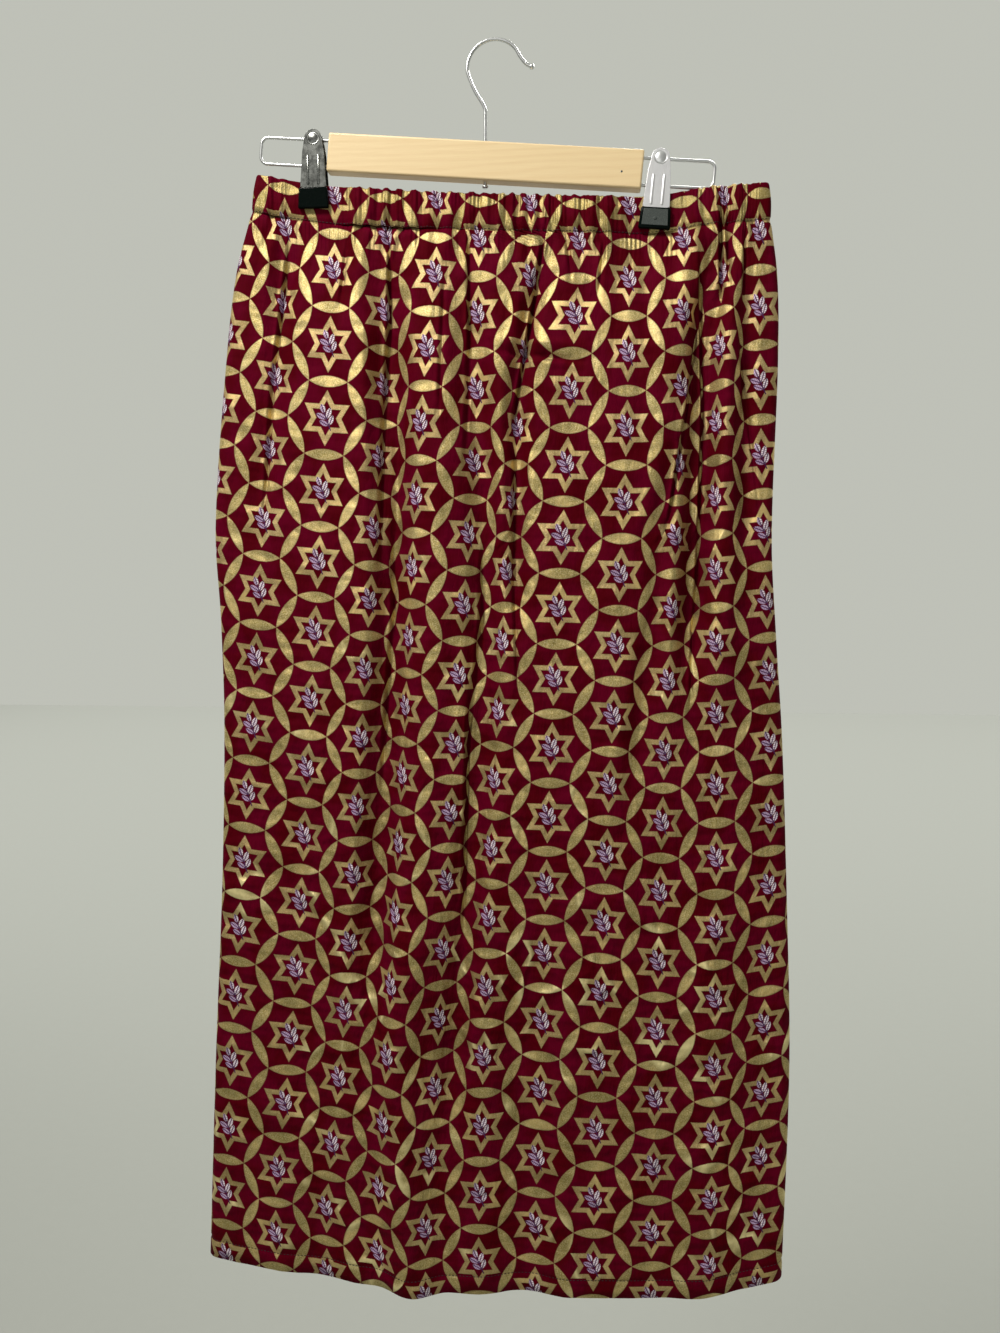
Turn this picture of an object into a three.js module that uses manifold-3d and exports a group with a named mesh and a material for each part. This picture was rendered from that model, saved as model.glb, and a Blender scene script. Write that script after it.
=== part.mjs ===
// Maxi skirt with an elastic casing waist, hung flat from a wooden clip hanger.
// Millimetres. +Z is up and the skirt's front faces -Y. The origin is the inner crown of the hanger's hook.
import * as THREE from 'three';
import { mergeVertices } from 'three/addons/utils/BufferGeometryUtils.js';
import Module from 'manifold-3d';

const wasm = await Module();
wasm.setup();

// Cloth sizes
const SKIRT_LENGTH = 945;
const CASING_HEIGHT = 30;
const HEM_TURN = 16;
const CLOTH_WALL = 1.6;
const CASING_WALL = 2.4;
const HEM_WALL = 1.2;
const PIECE_GAP = 0.3;
const LEAST_HALF_GAP = 0.2;

// How finely each piece follows its form
const CASING_STEPS_PER_GATHER = 4;
const PANEL_COLUMNS = { front: 76, back: 48 };
const PANEL_LEVELS = { front: 14, back: 8 };
const SIDE_FOLD_STEPS = 4;

// Waist gathers
const GATHERS = 34;
const GATHER_DEPTH = { middle: 1.6, ends: 2.3 };
const GATHER_RUN = 110;
const GATHER_DRIFT = 0.55;

// Hanger sizes
const WIRE_RADIUS = 1.5;
const HOOK_RADIUS = 22.3;
const HOOK_TIP_RADIUS = 2.3;
const SHAFT_X = -7.7;
const STUB_BELOW_BAR = 5;
const BAR = { length: 261, height: 31, depth: 12, bevel: 1.2, x: -8.8, z: -95.7, tilt: 4.95 };
const RAIL = { radius: 1.4, spacing: 21.4, reach: 58, inside: 18, corner: 6 };
const CLIP_OFFSET = 144;
const CLIP_DROP = 57;
const CLIP_LEAN = { left: 0, right: 4.95 };
const JAW = { thickness: 0.9, top: 7.4, neck: 9.2, foot: 11, rib: 0.8, splay: 1.7, tongue: 9.6 };
const TIP = { width: 26, height: 17, inner: 2.9, outer: 7, pocket: 12, clearance: 0.35, bevel: 0.8 };
const SPRING = { width: 11, thickness: 0.8, leg: 17, play: 0.8 };
const GRIP_HALF = 2.6;
const GRIP_REACH = { flat: 14, blend: 26, below: 90 };

// The hanging tube from the casing's top edge down: its side edges, the radius of its side folds,
// and how far the middle of its front and back bow out past that radius.
const STATIONS = [
  { below: 0, left: -201, right: 223, fold: 4.6, front: 2.5, back: 2 },
  { below: 30, left: -206, right: 225, fold: 5, front: 5, back: 3 },
  { below: 75, left: -219, right: 231, fold: 5.5, front: 9, back: 4 },
  { below: 140, left: -229, right: 233, fold: 6, front: 14, back: 4.5 },
  { below: 290, left: -243, right: 231, fold: 6.5, front: 18, back: 5 },
  { below: 370, left: -240, right: 236, fold: 7, front: 19, back: 5 },
  { below: 460, left: -239, right: 243, fold: 7.5, front: 19, back: 5 },
  { below: 600, left: -244, right: 250, fold: 8, front: 18, back: 5 },
  { below: 750, left: -253, right: 255.5, fold: 8.5, front: 18, back: 5 },
  { below: 945, left: -263, right: 253, fold: 9, front: 17, back: 5 },
];

// Heights of the casing's top edge and of the hem, across the skirt from its left edge (0) to its right (1).
const EDGES = [
  { across: 0, top: -100, hem: -1054 },
  { across: 0.15, top: -111, hem: -1060 },
  { across: 0.3, top: -117.5, hem: -1063 },
  { across: 0.45, top: -122, hem: -1064 },
  { across: 0.75, top: -127.3, hem: -1062 },
  { across: 0.88, top: -122.5, hem: -1058 },
  { across: 1, top: -119.5, hem: -1047 },
];
const BACK_HEM_DROP = 9;

// Folds that run down the cloth: where each passes at its top, middle and foot (mm below the casing's top
// edge, and x), its half width, how far it stands out (a trough is negative), and the length of its fades.
const FRONT_FOLDS = [
  { topBelow: 10, topX: -166, midBelow: 130, midX: -181, footBelow: 300, footX: -200, half: 17, out: -5, fade: 70 },
  { topBelow: 10, topX: -88, midBelow: 300, midX: -85, footBelow: 740, footX: -108, half: 24, out: -17, fade: 150 },
  { topBelow: 10, topX: -54, midBelow: 300, midX: -46, footBelow: 640, footX: -62, half: 22, out: 4, fade: 160 },
  { topBelow: 20, topX: -22, midBelow: 330, midX: -6, footBelow: 860, footX: -38, half: 21, out: -12, fade: 150 },
  { topBelow: 30, topX: 42, midBelow: 170, midX: 20, footBelow: 370, footX: 20, half: 13, out: -10, fade: 60 },
  { topBelow: 20, topX: 112, midBelow: 300, midX: 108, footBelow: 640, footX: 96, half: 40, out: 3, fade: 180 },
  { topBelow: 30, topX: 150, midBelow: 200, midX: 142, footBelow: 480, footX: 140, half: 28, out: 5, fade: 100 },
  { topBelow: 20, topX: 186, midBelow: 140, midX: 172, footBelow: 420, footX: 164, half: 19, out: -18, fade: 80 },
  { topBelow: 30, topX: 196, midBelow: 160, midX: 190, footBelow: 480, footX: 190, half: 26, out: 8, fade: 100 },
  { topBelow: 170, topX: 155, midBelow: 290, midX: 138, footBelow: 520, footX: 118, half: 17, out: -8, fade: 80 },
  { topBelow: 40, topX: 205, midBelow: 120, midX: 206, footBelow: 330, footX: 208, half: 13, out: -8, fade: 60 },
  { topBelow: 480, topX: -60, midBelow: 760, midX: -82, footBelow: 1120, footX: -62, half: 34, out: 15, fade: 240 },
  { topBelow: 520, topX: 40, midBelow: 760, midX: 30, footBelow: 1120, footX: 24, half: 42, out: -10, fade: 240 },
  { topBelow: 420, topX: 200, midBelow: 700, midX: 188, footBelow: 1120, footX: 176, half: 38, out: 5, fade: 200 },
  { topBelow: 420, topX: -190, midBelow: 640, midX: -170, footBelow: 1120, footX: -150, half: 40, out: -5, fade: 200 },
];
const BACK_FOLDS = [
  { topBelow: 20, topX: -120, midBelow: 400, midX: -128, footBelow: 1120, footX: -140, half: 36, out: 3.5, fade: 160 },
  { topBelow: 20, topX: -20, midBelow: 400, midX: -14, footBelow: 1120, footX: -20, half: 44, out: 3, fade: 160 },
  { topBelow: 20, topX: 90, midBelow: 400, midX: 98, footBelow: 1120, footX: 110, half: 38, out: 3.5, fade: 160 },
];

const HALVES = {
  front: { side: -1, folds: FRONT_FOLDS, hemDrop: 0, gatherPhase: 0.15 },
  back: { side: 1, folds: BACK_FOLDS, hemDrop: BACK_HEM_DROP, gatherPhase: 0.6 },
};

const radians = THREE.MathUtils.degToRad;
const { clamp, lerp, smoothstep } = THREE.MathUtils;

function material(color, roughness, metalness) {
  return new THREE.MeshStandardMaterial({ color, roughness, metalness });
}

const printedCotton = () => material(0x6b1030, 0.62, 0);
const paleWood = () => material(0xe6c795, 0.5, 0);
const brightWire = () => material(0xc6c8c9, 0.25, 1);
const blackVinyl = () => material(0x161618, 0.4, 0);

// A smooth curve through one column of a table, by the column it is keyed on.
function readTable(rows, key, column, value) {
  const last = rows.length - 1;
  let i = 0;
  while (i < last - 1 && value > rows[i + 1][key]) i += 1;
  const at = (k) => rows[clamp(k, 0, last)];
  const slope = (k) => {
    const before = at(k - 1);
    const after = at(k + 1);
    return (after[column] - before[column]) / (after[key] - before[key]);
  };
  const span = at(i + 1)[key] - at(i)[key];
  const t = clamp((value - at(i)[key]) / span, 0, 1);
  const rise = at(i + 1)[column] - at(i)[column];
  const startSlope = slope(i) * span;
  const endSlope = slope(i + 1) * span;
  const bend = startSlope + endSlope - 2 * rise;
  return at(i)[column] + t * (startSlope + t * (3 * rise - 2 * startSlope - endSlope + t * bend));
}

// How far a fold moves the cloth out at a place, soft across and fading at both ends.
function foldRise(fold, x, below) {
  const upper = below < fold.midBelow;
  const centre = upper
    ? lerp(fold.topX, fold.midX, smoothstep(below, fold.topBelow, fold.midBelow))
    : lerp(fold.midX, fold.footX, smoothstep(below, fold.midBelow, fold.footBelow));
  const q = Math.abs(x - centre) / fold.half;
  if (q >= 1) return 0;
  const starts = smoothstep(below, fold.topBelow, fold.topBelow + fold.fade);
  const ends = 1 - smoothstep(below, fold.footBelow - fold.fade, fold.footBelow);
  return fold.out * starts * ends * Math.cos((q * Math.PI) / 2) ** 2;
}

// A place on the tilted bar, along it and up from its middle.
function hangerPoint(along, up) {
  const tilt = radians(BAR.tilt);
  return new THREE.Vector3(
    BAR.x + along * Math.cos(tilt) + up * Math.sin(tilt),
    0,
    BAR.z - along * Math.sin(tilt) + up * Math.cos(tilt),
  );
}

// The upper rail passes through each clip's own origin.
const CLIPS = [
  { name: 'left', side: -1, lean: CLIP_LEAN.left },
  { name: 'right', side: 1, lean: CLIP_LEAN.right },
].map((clip) => ({ ...clip, at: hangerPoint(clip.side * CLIP_OFFSET, RAIL.spacing / 2) }));

// 1 where the clips press the cloth flat, 0 away from them.
function gripped(x, below) {
  const pressed = CLIPS.map((clip) => {
    const gripX = clip.at.x - Math.sin(radians(clip.lean)) * (CLIP_DROP - TIP.height / 2);
    return 1 - smoothstep(Math.abs(x - gripX), GRIP_REACH.flat, GRIP_REACH.flat + GRIP_REACH.blend);
  });
  return Math.max(...pressed) * (1 - smoothstep(below, CASING_HEIGHT, GRIP_REACH.below));
}

// Waist gathers: uneven waves, deeper towards the sides, that join in pairs below the casing and fade.
function gatherRise(half, across, below) {
  const waves = below > CASING_HEIGHT ? GATHERS / 2 : GATHERS;
  const drift = GATHER_DRIFT * (Math.sin(across * 9.1 + half.gatherPhase * 6) + 0.6 * Math.sin(across * 23.7));
  const wave = Math.cos(2 * Math.PI * (waves * across + half.gatherPhase + drift));
  const depth = lerp(GATHER_DEPTH.middle, GATHER_DEPTH.ends, Math.abs(2 * across - 1) ** 2);
  return depth * wave * (1 - smoothstep(below, CASING_HEIGHT, CASING_HEIGHT + GATHER_RUN));
}

// How far the cloth's outer face stands from the tube's middle plane.
function outwardDepth(half, across, x, below, edgeDistance, leastDepth) {
  const fold = readTable(STATIONS, 'below', 'fold', below);
  const bow = readTable(STATIONS, 'below', half.side < 0 ? 'front' : 'back', below);
  const clear = smoothstep(edgeDistance, fold, fold + 24);
  const run = half.folds.reduce((sum, row) => sum + foldRise(row, x, below), 0);
  const free = fold + bow * (1 - (2 * across - 1) ** 2) + clear * (run + gatherRise(half, across, below));
  const held = lerp(free, GRIP_HALF, gripped(x, below));
  return Math.max(held, leastDepth);
}

// Columns of points from the left side fold, across, and round the right side fold.
function clothColumns(middleSteps, startAngle) {
  const columns = [];
  for (let i = 0; i < SIDE_FOLD_STEPS; i += 1) {
    columns.push({ turn: -1, angle: lerp(startAngle, Math.PI / 2, i / SIDE_FOLD_STEPS) });
  }
  for (let i = 0; i <= middleSteps; i += 1) columns.push({ turn: 0, share: i / middleSteps });
  for (let i = SIDE_FOLD_STEPS - 1; i >= 0; i -= 1) {
    columns.push({ turn: 1, angle: lerp(startAngle, Math.PI / 2, i / SIDE_FOLD_STEPS) });
  }
  return columns;
}

// A point of the cloth: a column, a distance below the casing's top edge, and how far inside the outer face.
function clothPoint(half, column, below, inset, leastDepth) {
  const left = readTable(STATIONS, 'below', 'left', below);
  const right = readTable(STATIONS, 'below', 'right', below);
  const fold = readTable(STATIONS, 'below', 'fold', below);
  const heightAt = (across) => {
    const top = readTable(EDGES, 'across', 'top', across);
    const hem = readTable(EDGES, 'across', 'hem', across) - half.hemDrop * Math.sin(Math.PI * across);
    return lerp(top, hem, below / SKIRT_LENGTH);
  };
  if (column.turn === 0) {
    const x = lerp(left + fold, right - fold, column.share);
    const across = (x - left) / (right - left);
    const depth = outwardDepth(half, across, x, below, Math.min(x - left, right - x), leastDepth);
    return [x, half.side * (depth - inset), heightAt(across)];
  }
  const radius = fold - inset;
  const middle = column.turn < 0 ? left + fold : right - fold;
  const x = middle + column.turn * radius * Math.cos(column.angle);
  const across = clamp((x - left) / (right - left), 0, 1);
  const bow = outwardDepth(half, across, x, below, 0, leastDepth) - fold;
  const depth = radius * Math.sin(column.angle) + Math.max(bow, 0) * Math.sin(column.angle);
  return [x, half.side * depth, heightAt(across)];
}

function clothGrid(half, columns, levels, inset, leastDepth) {
  return levels.map((below) => columns.map((column) => clothPoint(half, column, below, inset, leastDepth)));
}

// The closed wall between an outer and an inner grid of points, faces pointing out.
function wallGeometry(outer, inner) {
  const rows = outer.length;
  const columns = outer[0].length;
  const innerStart = rows * columns;
  const outerAt = (r, c) => r * columns + c;
  const innerAt = (r, c) => innerStart + r * columns + c;
  const indices = [];
  const quad = (a, b, c, d) => indices.push(a, b, c, a, c, d);
  for (let r = 0; r < rows - 1; r += 1) {
    for (let c = 0; c < columns - 1; c += 1) {
      quad(outerAt(r, c), outerAt(r + 1, c), outerAt(r + 1, c + 1), outerAt(r, c + 1));
      quad(innerAt(r, c), innerAt(r, c + 1), innerAt(r + 1, c + 1), innerAt(r + 1, c));
    }
  }
  for (let c = 0; c < columns - 1; c += 1) {
    quad(outerAt(0, c), outerAt(0, c + 1), innerAt(0, c + 1), innerAt(0, c));
    quad(outerAt(rows - 1, c + 1), outerAt(rows - 1, c), innerAt(rows - 1, c), innerAt(rows - 1, c + 1));
  }
  for (let r = 0; r < rows - 1; r += 1) {
    quad(outerAt(r + 1, 0), outerAt(r, 0), innerAt(r, 0), innerAt(r + 1, 0));
    quad(outerAt(r, columns - 1), outerAt(r + 1, columns - 1), innerAt(r + 1, columns - 1), innerAt(r, columns - 1));
  }
  const geometry = new THREE.BufferGeometry();
  geometry.setAttribute('position', new THREE.Float32BufferAttribute([...outer, ...inner].flat(2), 3));
  geometry.setIndex(indices);
  return faceOutward(geometry);
}

// Turns every triangle over where the closed geometry's signed volume is negative.
function faceOutward(geometry) {
  const position = geometry.getAttribute('position');
  const index = geometry.getIndex();
  const corner = [new THREE.Vector3(), new THREE.Vector3(), new THREE.Vector3()];
  let volume = 0;
  for (let i = 0; i < index.count; i += 3) {
    corner.forEach((point, k) => point.fromBufferAttribute(position, index.getX(i + k)));
    volume += corner[0].dot(corner[1].clone().cross(corner[2])) / 6;
  }
  if (volume < 0) {
    for (let i = 0; i < index.count; i += 3) {
      const second = index.getX(i + 1);
      index.setX(i + 1, index.getX(i + 2));
      index.setX(i + 2, second);
    }
  }
  geometry.computeVertexNormals();
  return geometry;
}

function evenLevels(from, to, count) {
  return Array.from({ length: count + 1 }, (_, i) => lerp(from, to, i / count));
}

// Levels that lie closer together near the waist, where the folds are tighter. The last two bound the hem.
function panelLevels(name) {
  const count = PANEL_LEVELS[name];
  const hemTop = SKIRT_LENGTH - HEM_TURN;
  const levels = Array.from({ length: count }, (_, i) => lerp(CASING_HEIGHT, hemTop, (i / (count - 1)) ** 1.35));
  return [...levels, SKIRT_LENGTH];
}

function seamAngle() {
  return PIECE_GAP / 2 / STATIONS[0].fold;
}

function casing(half) {
  const columns = clothColumns(GATHERS * CASING_STEPS_PER_GATHER, seamAngle());
  const levels = evenLevels(0, CASING_HEIGHT - PIECE_GAP, 2);
  const least = CASING_WALL + LEAST_HALF_GAP;
  return wallGeometry(
    clothGrid(half, columns, levels, 0, least),
    clothGrid(half, columns, levels, CASING_WALL, least),
  );
}

function panel(half, name) {
  const columns = clothColumns(PANEL_COLUMNS[name], seamAngle());
  const levels = panelLevels(name);
  const least = CLOTH_WALL + LEAST_HALF_GAP;
  return wallGeometry(
    clothGrid(half, columns, levels, 0, least),
    clothGrid(half, columns, levels, CLOTH_WALL, least),
  );
}

// The turned hem lies on the inside of its panel, made from the panel's own points.
function hemBand(half, name) {
  const columns = clothColumns(PANEL_COLUMNS[name], seamAngle());
  const levels = panelLevels(name).slice(-2);
  const least = CLOTH_WALL + LEAST_HALF_GAP;
  const outerInset = CLOTH_WALL + PIECE_GAP;
  return wallGeometry(
    clothGrid(half, columns, levels, outerInset, least),
    clothGrid(half, columns, levels, outerInset + HEM_WALL, least),
  );
}

// Solids for joining and cutting
function solidOf(geometry) {
  const bare = geometry.clone();
  bare.deleteAttribute('normal');
  bare.deleteAttribute('uv');
  const merged = mergeVertices(bare, 1e-4);
  return new wasm.Manifold(new wasm.Mesh({
    numProp: 3,
    vertProperties: new Float32Array(merged.getAttribute('position').array),
    triVerts: new Uint32Array(merged.getIndex().array),
  }));
}

function geometryOf(solid) {
  const mesh = solid.getMesh();
  const geometry = new THREE.BufferGeometry();
  geometry.setAttribute('position', new THREE.BufferAttribute(new Float32Array(mesh.vertProperties), 3));
  geometry.setIndex(new THREE.BufferAttribute(new Uint32Array(mesh.triVerts), 1));
  geometry.computeVertexNormals();
  return geometry;
}

function joined(geometries) {
  return geometryOf(geometries.map(solidOf).reduce((sum, next) => sum.add(next)));
}

function circleShape(radius, sides) {
  const shape = new THREE.Shape();
  shape.setFromPoints(Array.from({ length: sides }, (_, i) => {
    const angle = (2 * Math.PI * i) / sides;
    return new THREE.Vector2(radius * Math.cos(angle), radius * Math.sin(angle));
  }));
  return shape;
}

function wireAlong(points, radius, sides, steps) {
  const path = new THREE.CatmullRomCurve3(points, false, 'centripetal');
  return new THREE.ExtrudeGeometry(circleShape(radius, sides), { steps, extrudePath: path });
}

function barUndersideAt(x) {
  const tilt = radians(BAR.tilt);
  return BAR.z - BAR.height / 2 / Math.cos(tilt) - (x - BAR.x) * Math.tan(tilt);
}

// The hook's round crown from its open tip over to the left, then the bend down to the shaft.
function hookGeometry() {
  const crown = new THREE.Vector3(0, 0, WIRE_RADIUS - HOOK_RADIUS);
  const flare = [
    new THREE.Vector3(30.4, 0, crown.z - 0.4),
    new THREE.Vector3(25.6, 0, crown.z + 2.2),
  ];
  const arc = Array.from({ length: 11 }, (_, i) => {
    const angle = radians(lerp(22, 190, i / 10));
    return new THREE.Vector3(HOOK_RADIUS * Math.cos(angle), 0, crown.z + HOOK_RADIUS * Math.sin(angle));
  });
  const neck = [
    new THREE.Vector3(-16.4, 0, -38.2),
    new THREE.Vector3(SHAFT_X - 0.8, 0, -51.5),
    new THREE.Vector3(SHAFT_X, 0, -60),
    new THREE.Vector3(SHAFT_X, 0, -85),
    new THREE.Vector3(SHAFT_X, 0, barUndersideAt(SHAFT_X) - STUB_BELOW_BAR),
  ];
  const wire = wireAlong([...flare, ...arc, ...neck], WIRE_RADIUS, 8, 36);
  const tip = new THREE.SphereGeometry(HOOK_TIP_RADIUS, 10, 8);
  tip.translate(flare[0].x, 0, flare[0].z);
  const head = new THREE.CylinderGeometry(2.6, 2.6, 2, 10);
  head.rotateX(Math.PI / 2);
  head.translate(SHAFT_X, 0, barUndersideAt(SHAFT_X) - STUB_BELOW_BAR + 1.2);
  return joined([wire, tip, head]);
}

// A wire loop that holds one clip: two rails from inside the bar's end, joined by a round-cornered end.
function railPoints(side) {
  const start = side * (BAR.length / 2 - RAIL.inside);
  const end = side * (BAR.length / 2 + RAIL.reach);
  const up = RAIL.spacing / 2;
  const bend = (turnUp) => Array.from({ length: 4 }, (_, i) => {
    const angle = radians(30 * i);
    const along = end - side * RAIL.corner * (1 - Math.sin(angle));
    return [along, turnUp * (up - RAIL.corner * (1 - Math.cos(angle)))];
  });
  const upper = [[start, up], [side * BAR.length / 2, up], ...bend(1)];
  const lower = [...bend(-1).reverse(), [side * BAR.length / 2, -up], [start, -up]];
  return [...upper, ...lower].map(([along, height]) => new THREE.Vector3(along, 0, height));
}

function barGeometry() {
  const { length, height, depth, bevel } = BAR;
  const face = new THREE.Shape();
  const x = length / 2 - bevel;
  const y = height / 2 - bevel;
  face.setFromPoints([[-x, -y], [x, -y], [x, y], [-x, y]].map(([a, b]) => new THREE.Vector2(a, b)));
  const block = new THREE.ExtrudeGeometry(face, {
    depth: depth - 2 * bevel, bevelEnabled: true, bevelThickness: bevel, bevelSize: bevel, bevelSegments: 2,
  });
  block.translate(0, 0, -depth / 2 + bevel);
  block.rotateX(Math.PI / 2);
  let solid = solidOf(block);
  for (const side of [-1, 1]) {
    for (const up of [-1, 1]) {
      const bore = new THREE.CylinderGeometry(RAIL.radius + PIECE_GAP, RAIL.radius + PIECE_GAP, RAIL.inside + 3, 10);
      bore.rotateZ(Math.PI / 2);
      bore.translate(side * (length / 2 - RAIL.inside / 2 + 0.5), 0, (up * RAIL.spacing) / 2);
      solid = solid.subtract(solidOf(bore));
    }
  }
  const shaftHole = new THREE.CylinderGeometry(WIRE_RADIUS + PIECE_GAP, WIRE_RADIUS + PIECE_GAP, height * 1.6, 12);
  shaftHole.rotateX(Math.PI / 2);
  shaftHole.rotateY(-radians(BAR.tilt));
  shaftHole.translate((SHAFT_X - BAR.x) / Math.cos(radians(BAR.tilt)), 0, 0);
  return geometryOf(solid.subtract(solidOf(shaftHole)));
}

// A pressed steel jaw: round top at the rail, widening to its foot, two ribs and a round boss, and a
// narrower tongue that goes into the tip.
function jawGeometry() {
  const foot = -(CLIP_DROP - TIP.height);
  const tongueEnd = foot - TIP.pocket + 1;
  const outline = new THREE.Shape();
  outline.absarc(0, 0, JAW.top, 0, Math.PI, false);
  outline.lineTo(-JAW.neck, -11);
  outline.lineTo(-JAW.foot, foot + 0.5);
  outline.lineTo(-JAW.tongue, foot + 0.5);
  outline.lineTo(-JAW.tongue, tongueEnd);
  outline.lineTo(JAW.tongue, tongueEnd);
  outline.lineTo(JAW.tongue, foot + 0.5);
  outline.lineTo(JAW.foot, foot + 0.5);
  outline.lineTo(JAW.neck, -11);
  const plate = new THREE.ExtrudeGeometry(outline, { depth: JAW.thickness, bevelEnabled: false, curveSegments: 10 });
  const raised = [new THREE.CylinderGeometry(4.6, 5.2, JAW.rib + 0.4, 14)];
  raised[0].rotateX(Math.PI / 2);
  raised[0].translate(0, 0, JAW.thickness + JAW.rib / 2 - 0.2);
  for (const side of [-1, 1]) {
    const rib = new THREE.Shape();
    rib.absarc(side * 5.2, -14, 1.7, 0, Math.PI, false);
    rib.absarc(side * 5.2, foot + 4, 1.7, Math.PI, 2 * Math.PI, false);
    const bead = new THREE.ExtrudeGeometry(rib, { depth: JAW.rib + 0.4, bevelEnabled: false, curveSegments: 4 });
    bead.translate(0, 0, JAW.thickness - 0.4);
    raised.push(bead);
  }
  const jaw = joined([plate, ...raised]);
  jaw.rotateX(Math.PI / 2);
  return jaw;
}

// The soft tip that grips the cloth, with a pocket for the jaw's tongue.
function tipGeometry() {
  const { width, height, inner, outer, bevel } = TIP;
  const face = new THREE.Shape();
  const x = width / 2 - bevel;
  face.setFromPoints([[-x, bevel], [x, bevel], [x, height - bevel], [-x, height - bevel]]
    .map(([a, b]) => new THREE.Vector2(a, b)));
  const block = new THREE.ExtrudeGeometry(face, {
    depth: outer - inner - 2 * bevel, bevelEnabled: true, bevelThickness: bevel, bevelSize: bevel, bevelSegments: 2,
  });
  block.translate(0, 0, inner + bevel);
  block.rotateX(Math.PI / 2);
  block.translate(0, 0, -CLIP_DROP);
  const pocketWidth = 2 * (JAW.tongue + TIP.clearance);
  const pocket = new THREE.BoxGeometry(pocketWidth, JAW.thickness + 3 * TIP.clearance, TIP.pocket + 2);
  pocket.translate(0, -jawDepthAt(TIP.height - TIP.pocket / 2), TIP.height - CLIP_DROP - TIP.pocket / 2 + 1);
  return geometryOf(solidOf(block).subtract(solidOf(pocket)));
}

// Where the splayed jaw's middle stands off the clip's plane, at a height above the tip's foot.
function jawDepthAt(heightAboveFoot) {
  const down = CLIP_DROP - heightAboveFoot;
  return jawBack() + JAW.thickness / 2 + Math.tan(radians(JAW.splay)) * down;
}

function jawBack() {
  return RAIL.radius + SPRING.play + SPRING.thickness + PIECE_GAP;
}

// A steel strip bent over the upper rail, between the jaws.
function springGeometry() {
  const innerRadius = RAIL.radius + SPRING.play;
  const outerRadius = innerRadius + SPRING.thickness;
  const strip = new THREE.Shape();
  strip.moveTo(outerRadius, -SPRING.leg);
  strip.absarc(0, 0, outerRadius, 0, Math.PI, false);
  strip.lineTo(-outerRadius, -SPRING.leg);
  strip.lineTo(-innerRadius, -SPRING.leg);
  strip.absarc(0, 0, innerRadius, Math.PI, 0, true);
  strip.lineTo(innerRadius, -SPRING.leg);
  const spring = new THREE.ExtrudeGeometry(strip, { depth: SPRING.width, bevelEnabled: false, curveSegments: 8 });
  spring.translate(0, 0, -SPRING.width / 2);
  spring.rotateX(Math.PI / 2);
  spring.rotateZ(Math.PI / 2);
  return spring;
}

function named(name, geometry, finish) {
  const mesh = new THREE.Mesh(geometry, finish);
  mesh.name = name;
  return mesh;
}

function clipGroup(clip) {
  const group = new THREE.Group();
  group.position.copy(clip.at);
  group.rotation.y = radians(clip.lean);
  for (const [name, turn] of [['front', 0], ['back', Math.PI]]) {
    const face = new THREE.Group();
    face.rotation.z = turn;
    const jaw = named(`clip_${clip.name}_${name}_jaw`, jawGeometry(), brightWire());
    jaw.position.y = -jawBack();
    jaw.rotation.x = -radians(JAW.splay);
    face.add(jaw, named(`clip_${clip.name}_${name}_tip`, tipGeometry(), blackVinyl()));
    group.add(face);
  }
  group.add(named(`clip_${clip.name}_spring`, springGeometry(), brightWire()));
  return group;
}

function hangerGroup() {
  const tilted = new THREE.Group();
  tilted.position.set(BAR.x, 0, BAR.z);
  tilted.rotation.y = radians(BAR.tilt);
  tilted.add(named('hanger_bar', barGeometry(), paleWood()));
  for (const [name, side] of [['left', -1], ['right', 1]]) {
    tilted.add(named(`rail_${name}`, wireAlong(railPoints(side), RAIL.radius, 8, 20), brightWire()));
  }
  const group = new THREE.Group();
  group.add(named('hook', hookGeometry(), brightWire()), tilted, ...CLIPS.map(clipGroup));
  return group;
}

function skirtGroup() {
  const group = new THREE.Group();
  for (const [name, half] of Object.entries(HALVES)) {
    group.add(named(`${name}_panel`, panel(half, name), printedCotton()));
    group.add(named(`${name}_casing`, casing(half), printedCotton()));
    group.add(named(`${name}_hem`, hemBand(half, name), printedCotton()));
  }
  return group;
}

const model = new THREE.Group();
model.add(skirtGroup(), hangerGroup());

export default model;
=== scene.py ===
"""The looks of a printed maxi skirt on a wooden clip hanger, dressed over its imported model.

Metres, +Z up, the skirt's front faces -Y, and the origin is the inner crown of the hanger's hook.
"""
import sys
import logging
import math
from dataclasses import dataclass, field
from enum import Enum
from typing import Iterable, Sequence

import bmesh
import bpy
import numpy as np
from mathutils import Matrix, Vector


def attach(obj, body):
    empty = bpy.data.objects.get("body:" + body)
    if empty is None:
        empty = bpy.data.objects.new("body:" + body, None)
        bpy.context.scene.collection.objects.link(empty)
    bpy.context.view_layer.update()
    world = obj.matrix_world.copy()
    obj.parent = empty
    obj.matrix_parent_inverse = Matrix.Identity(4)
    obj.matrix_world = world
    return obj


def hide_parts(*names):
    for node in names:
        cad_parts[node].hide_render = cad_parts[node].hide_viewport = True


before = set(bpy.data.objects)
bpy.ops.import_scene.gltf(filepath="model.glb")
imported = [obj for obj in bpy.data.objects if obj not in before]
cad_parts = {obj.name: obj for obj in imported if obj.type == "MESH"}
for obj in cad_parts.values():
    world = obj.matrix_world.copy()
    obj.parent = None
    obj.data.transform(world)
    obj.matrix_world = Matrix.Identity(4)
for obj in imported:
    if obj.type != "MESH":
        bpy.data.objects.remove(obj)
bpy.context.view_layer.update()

Array = np.ndarray
Material = bpy.types.Material
Piece = bpy.types.Object
Socket = bpy.types.NodeSocket
RawMesh = bmesh.types.BMesh
Outline = Sequence[tuple[float, float]]
Colour = tuple[float, float, float, float]

MM = 0.001
BEVEL_STEPS = 3
BEVEL_ANGLE = 40.0
SHARP_ANGLE = 48.0
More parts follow.
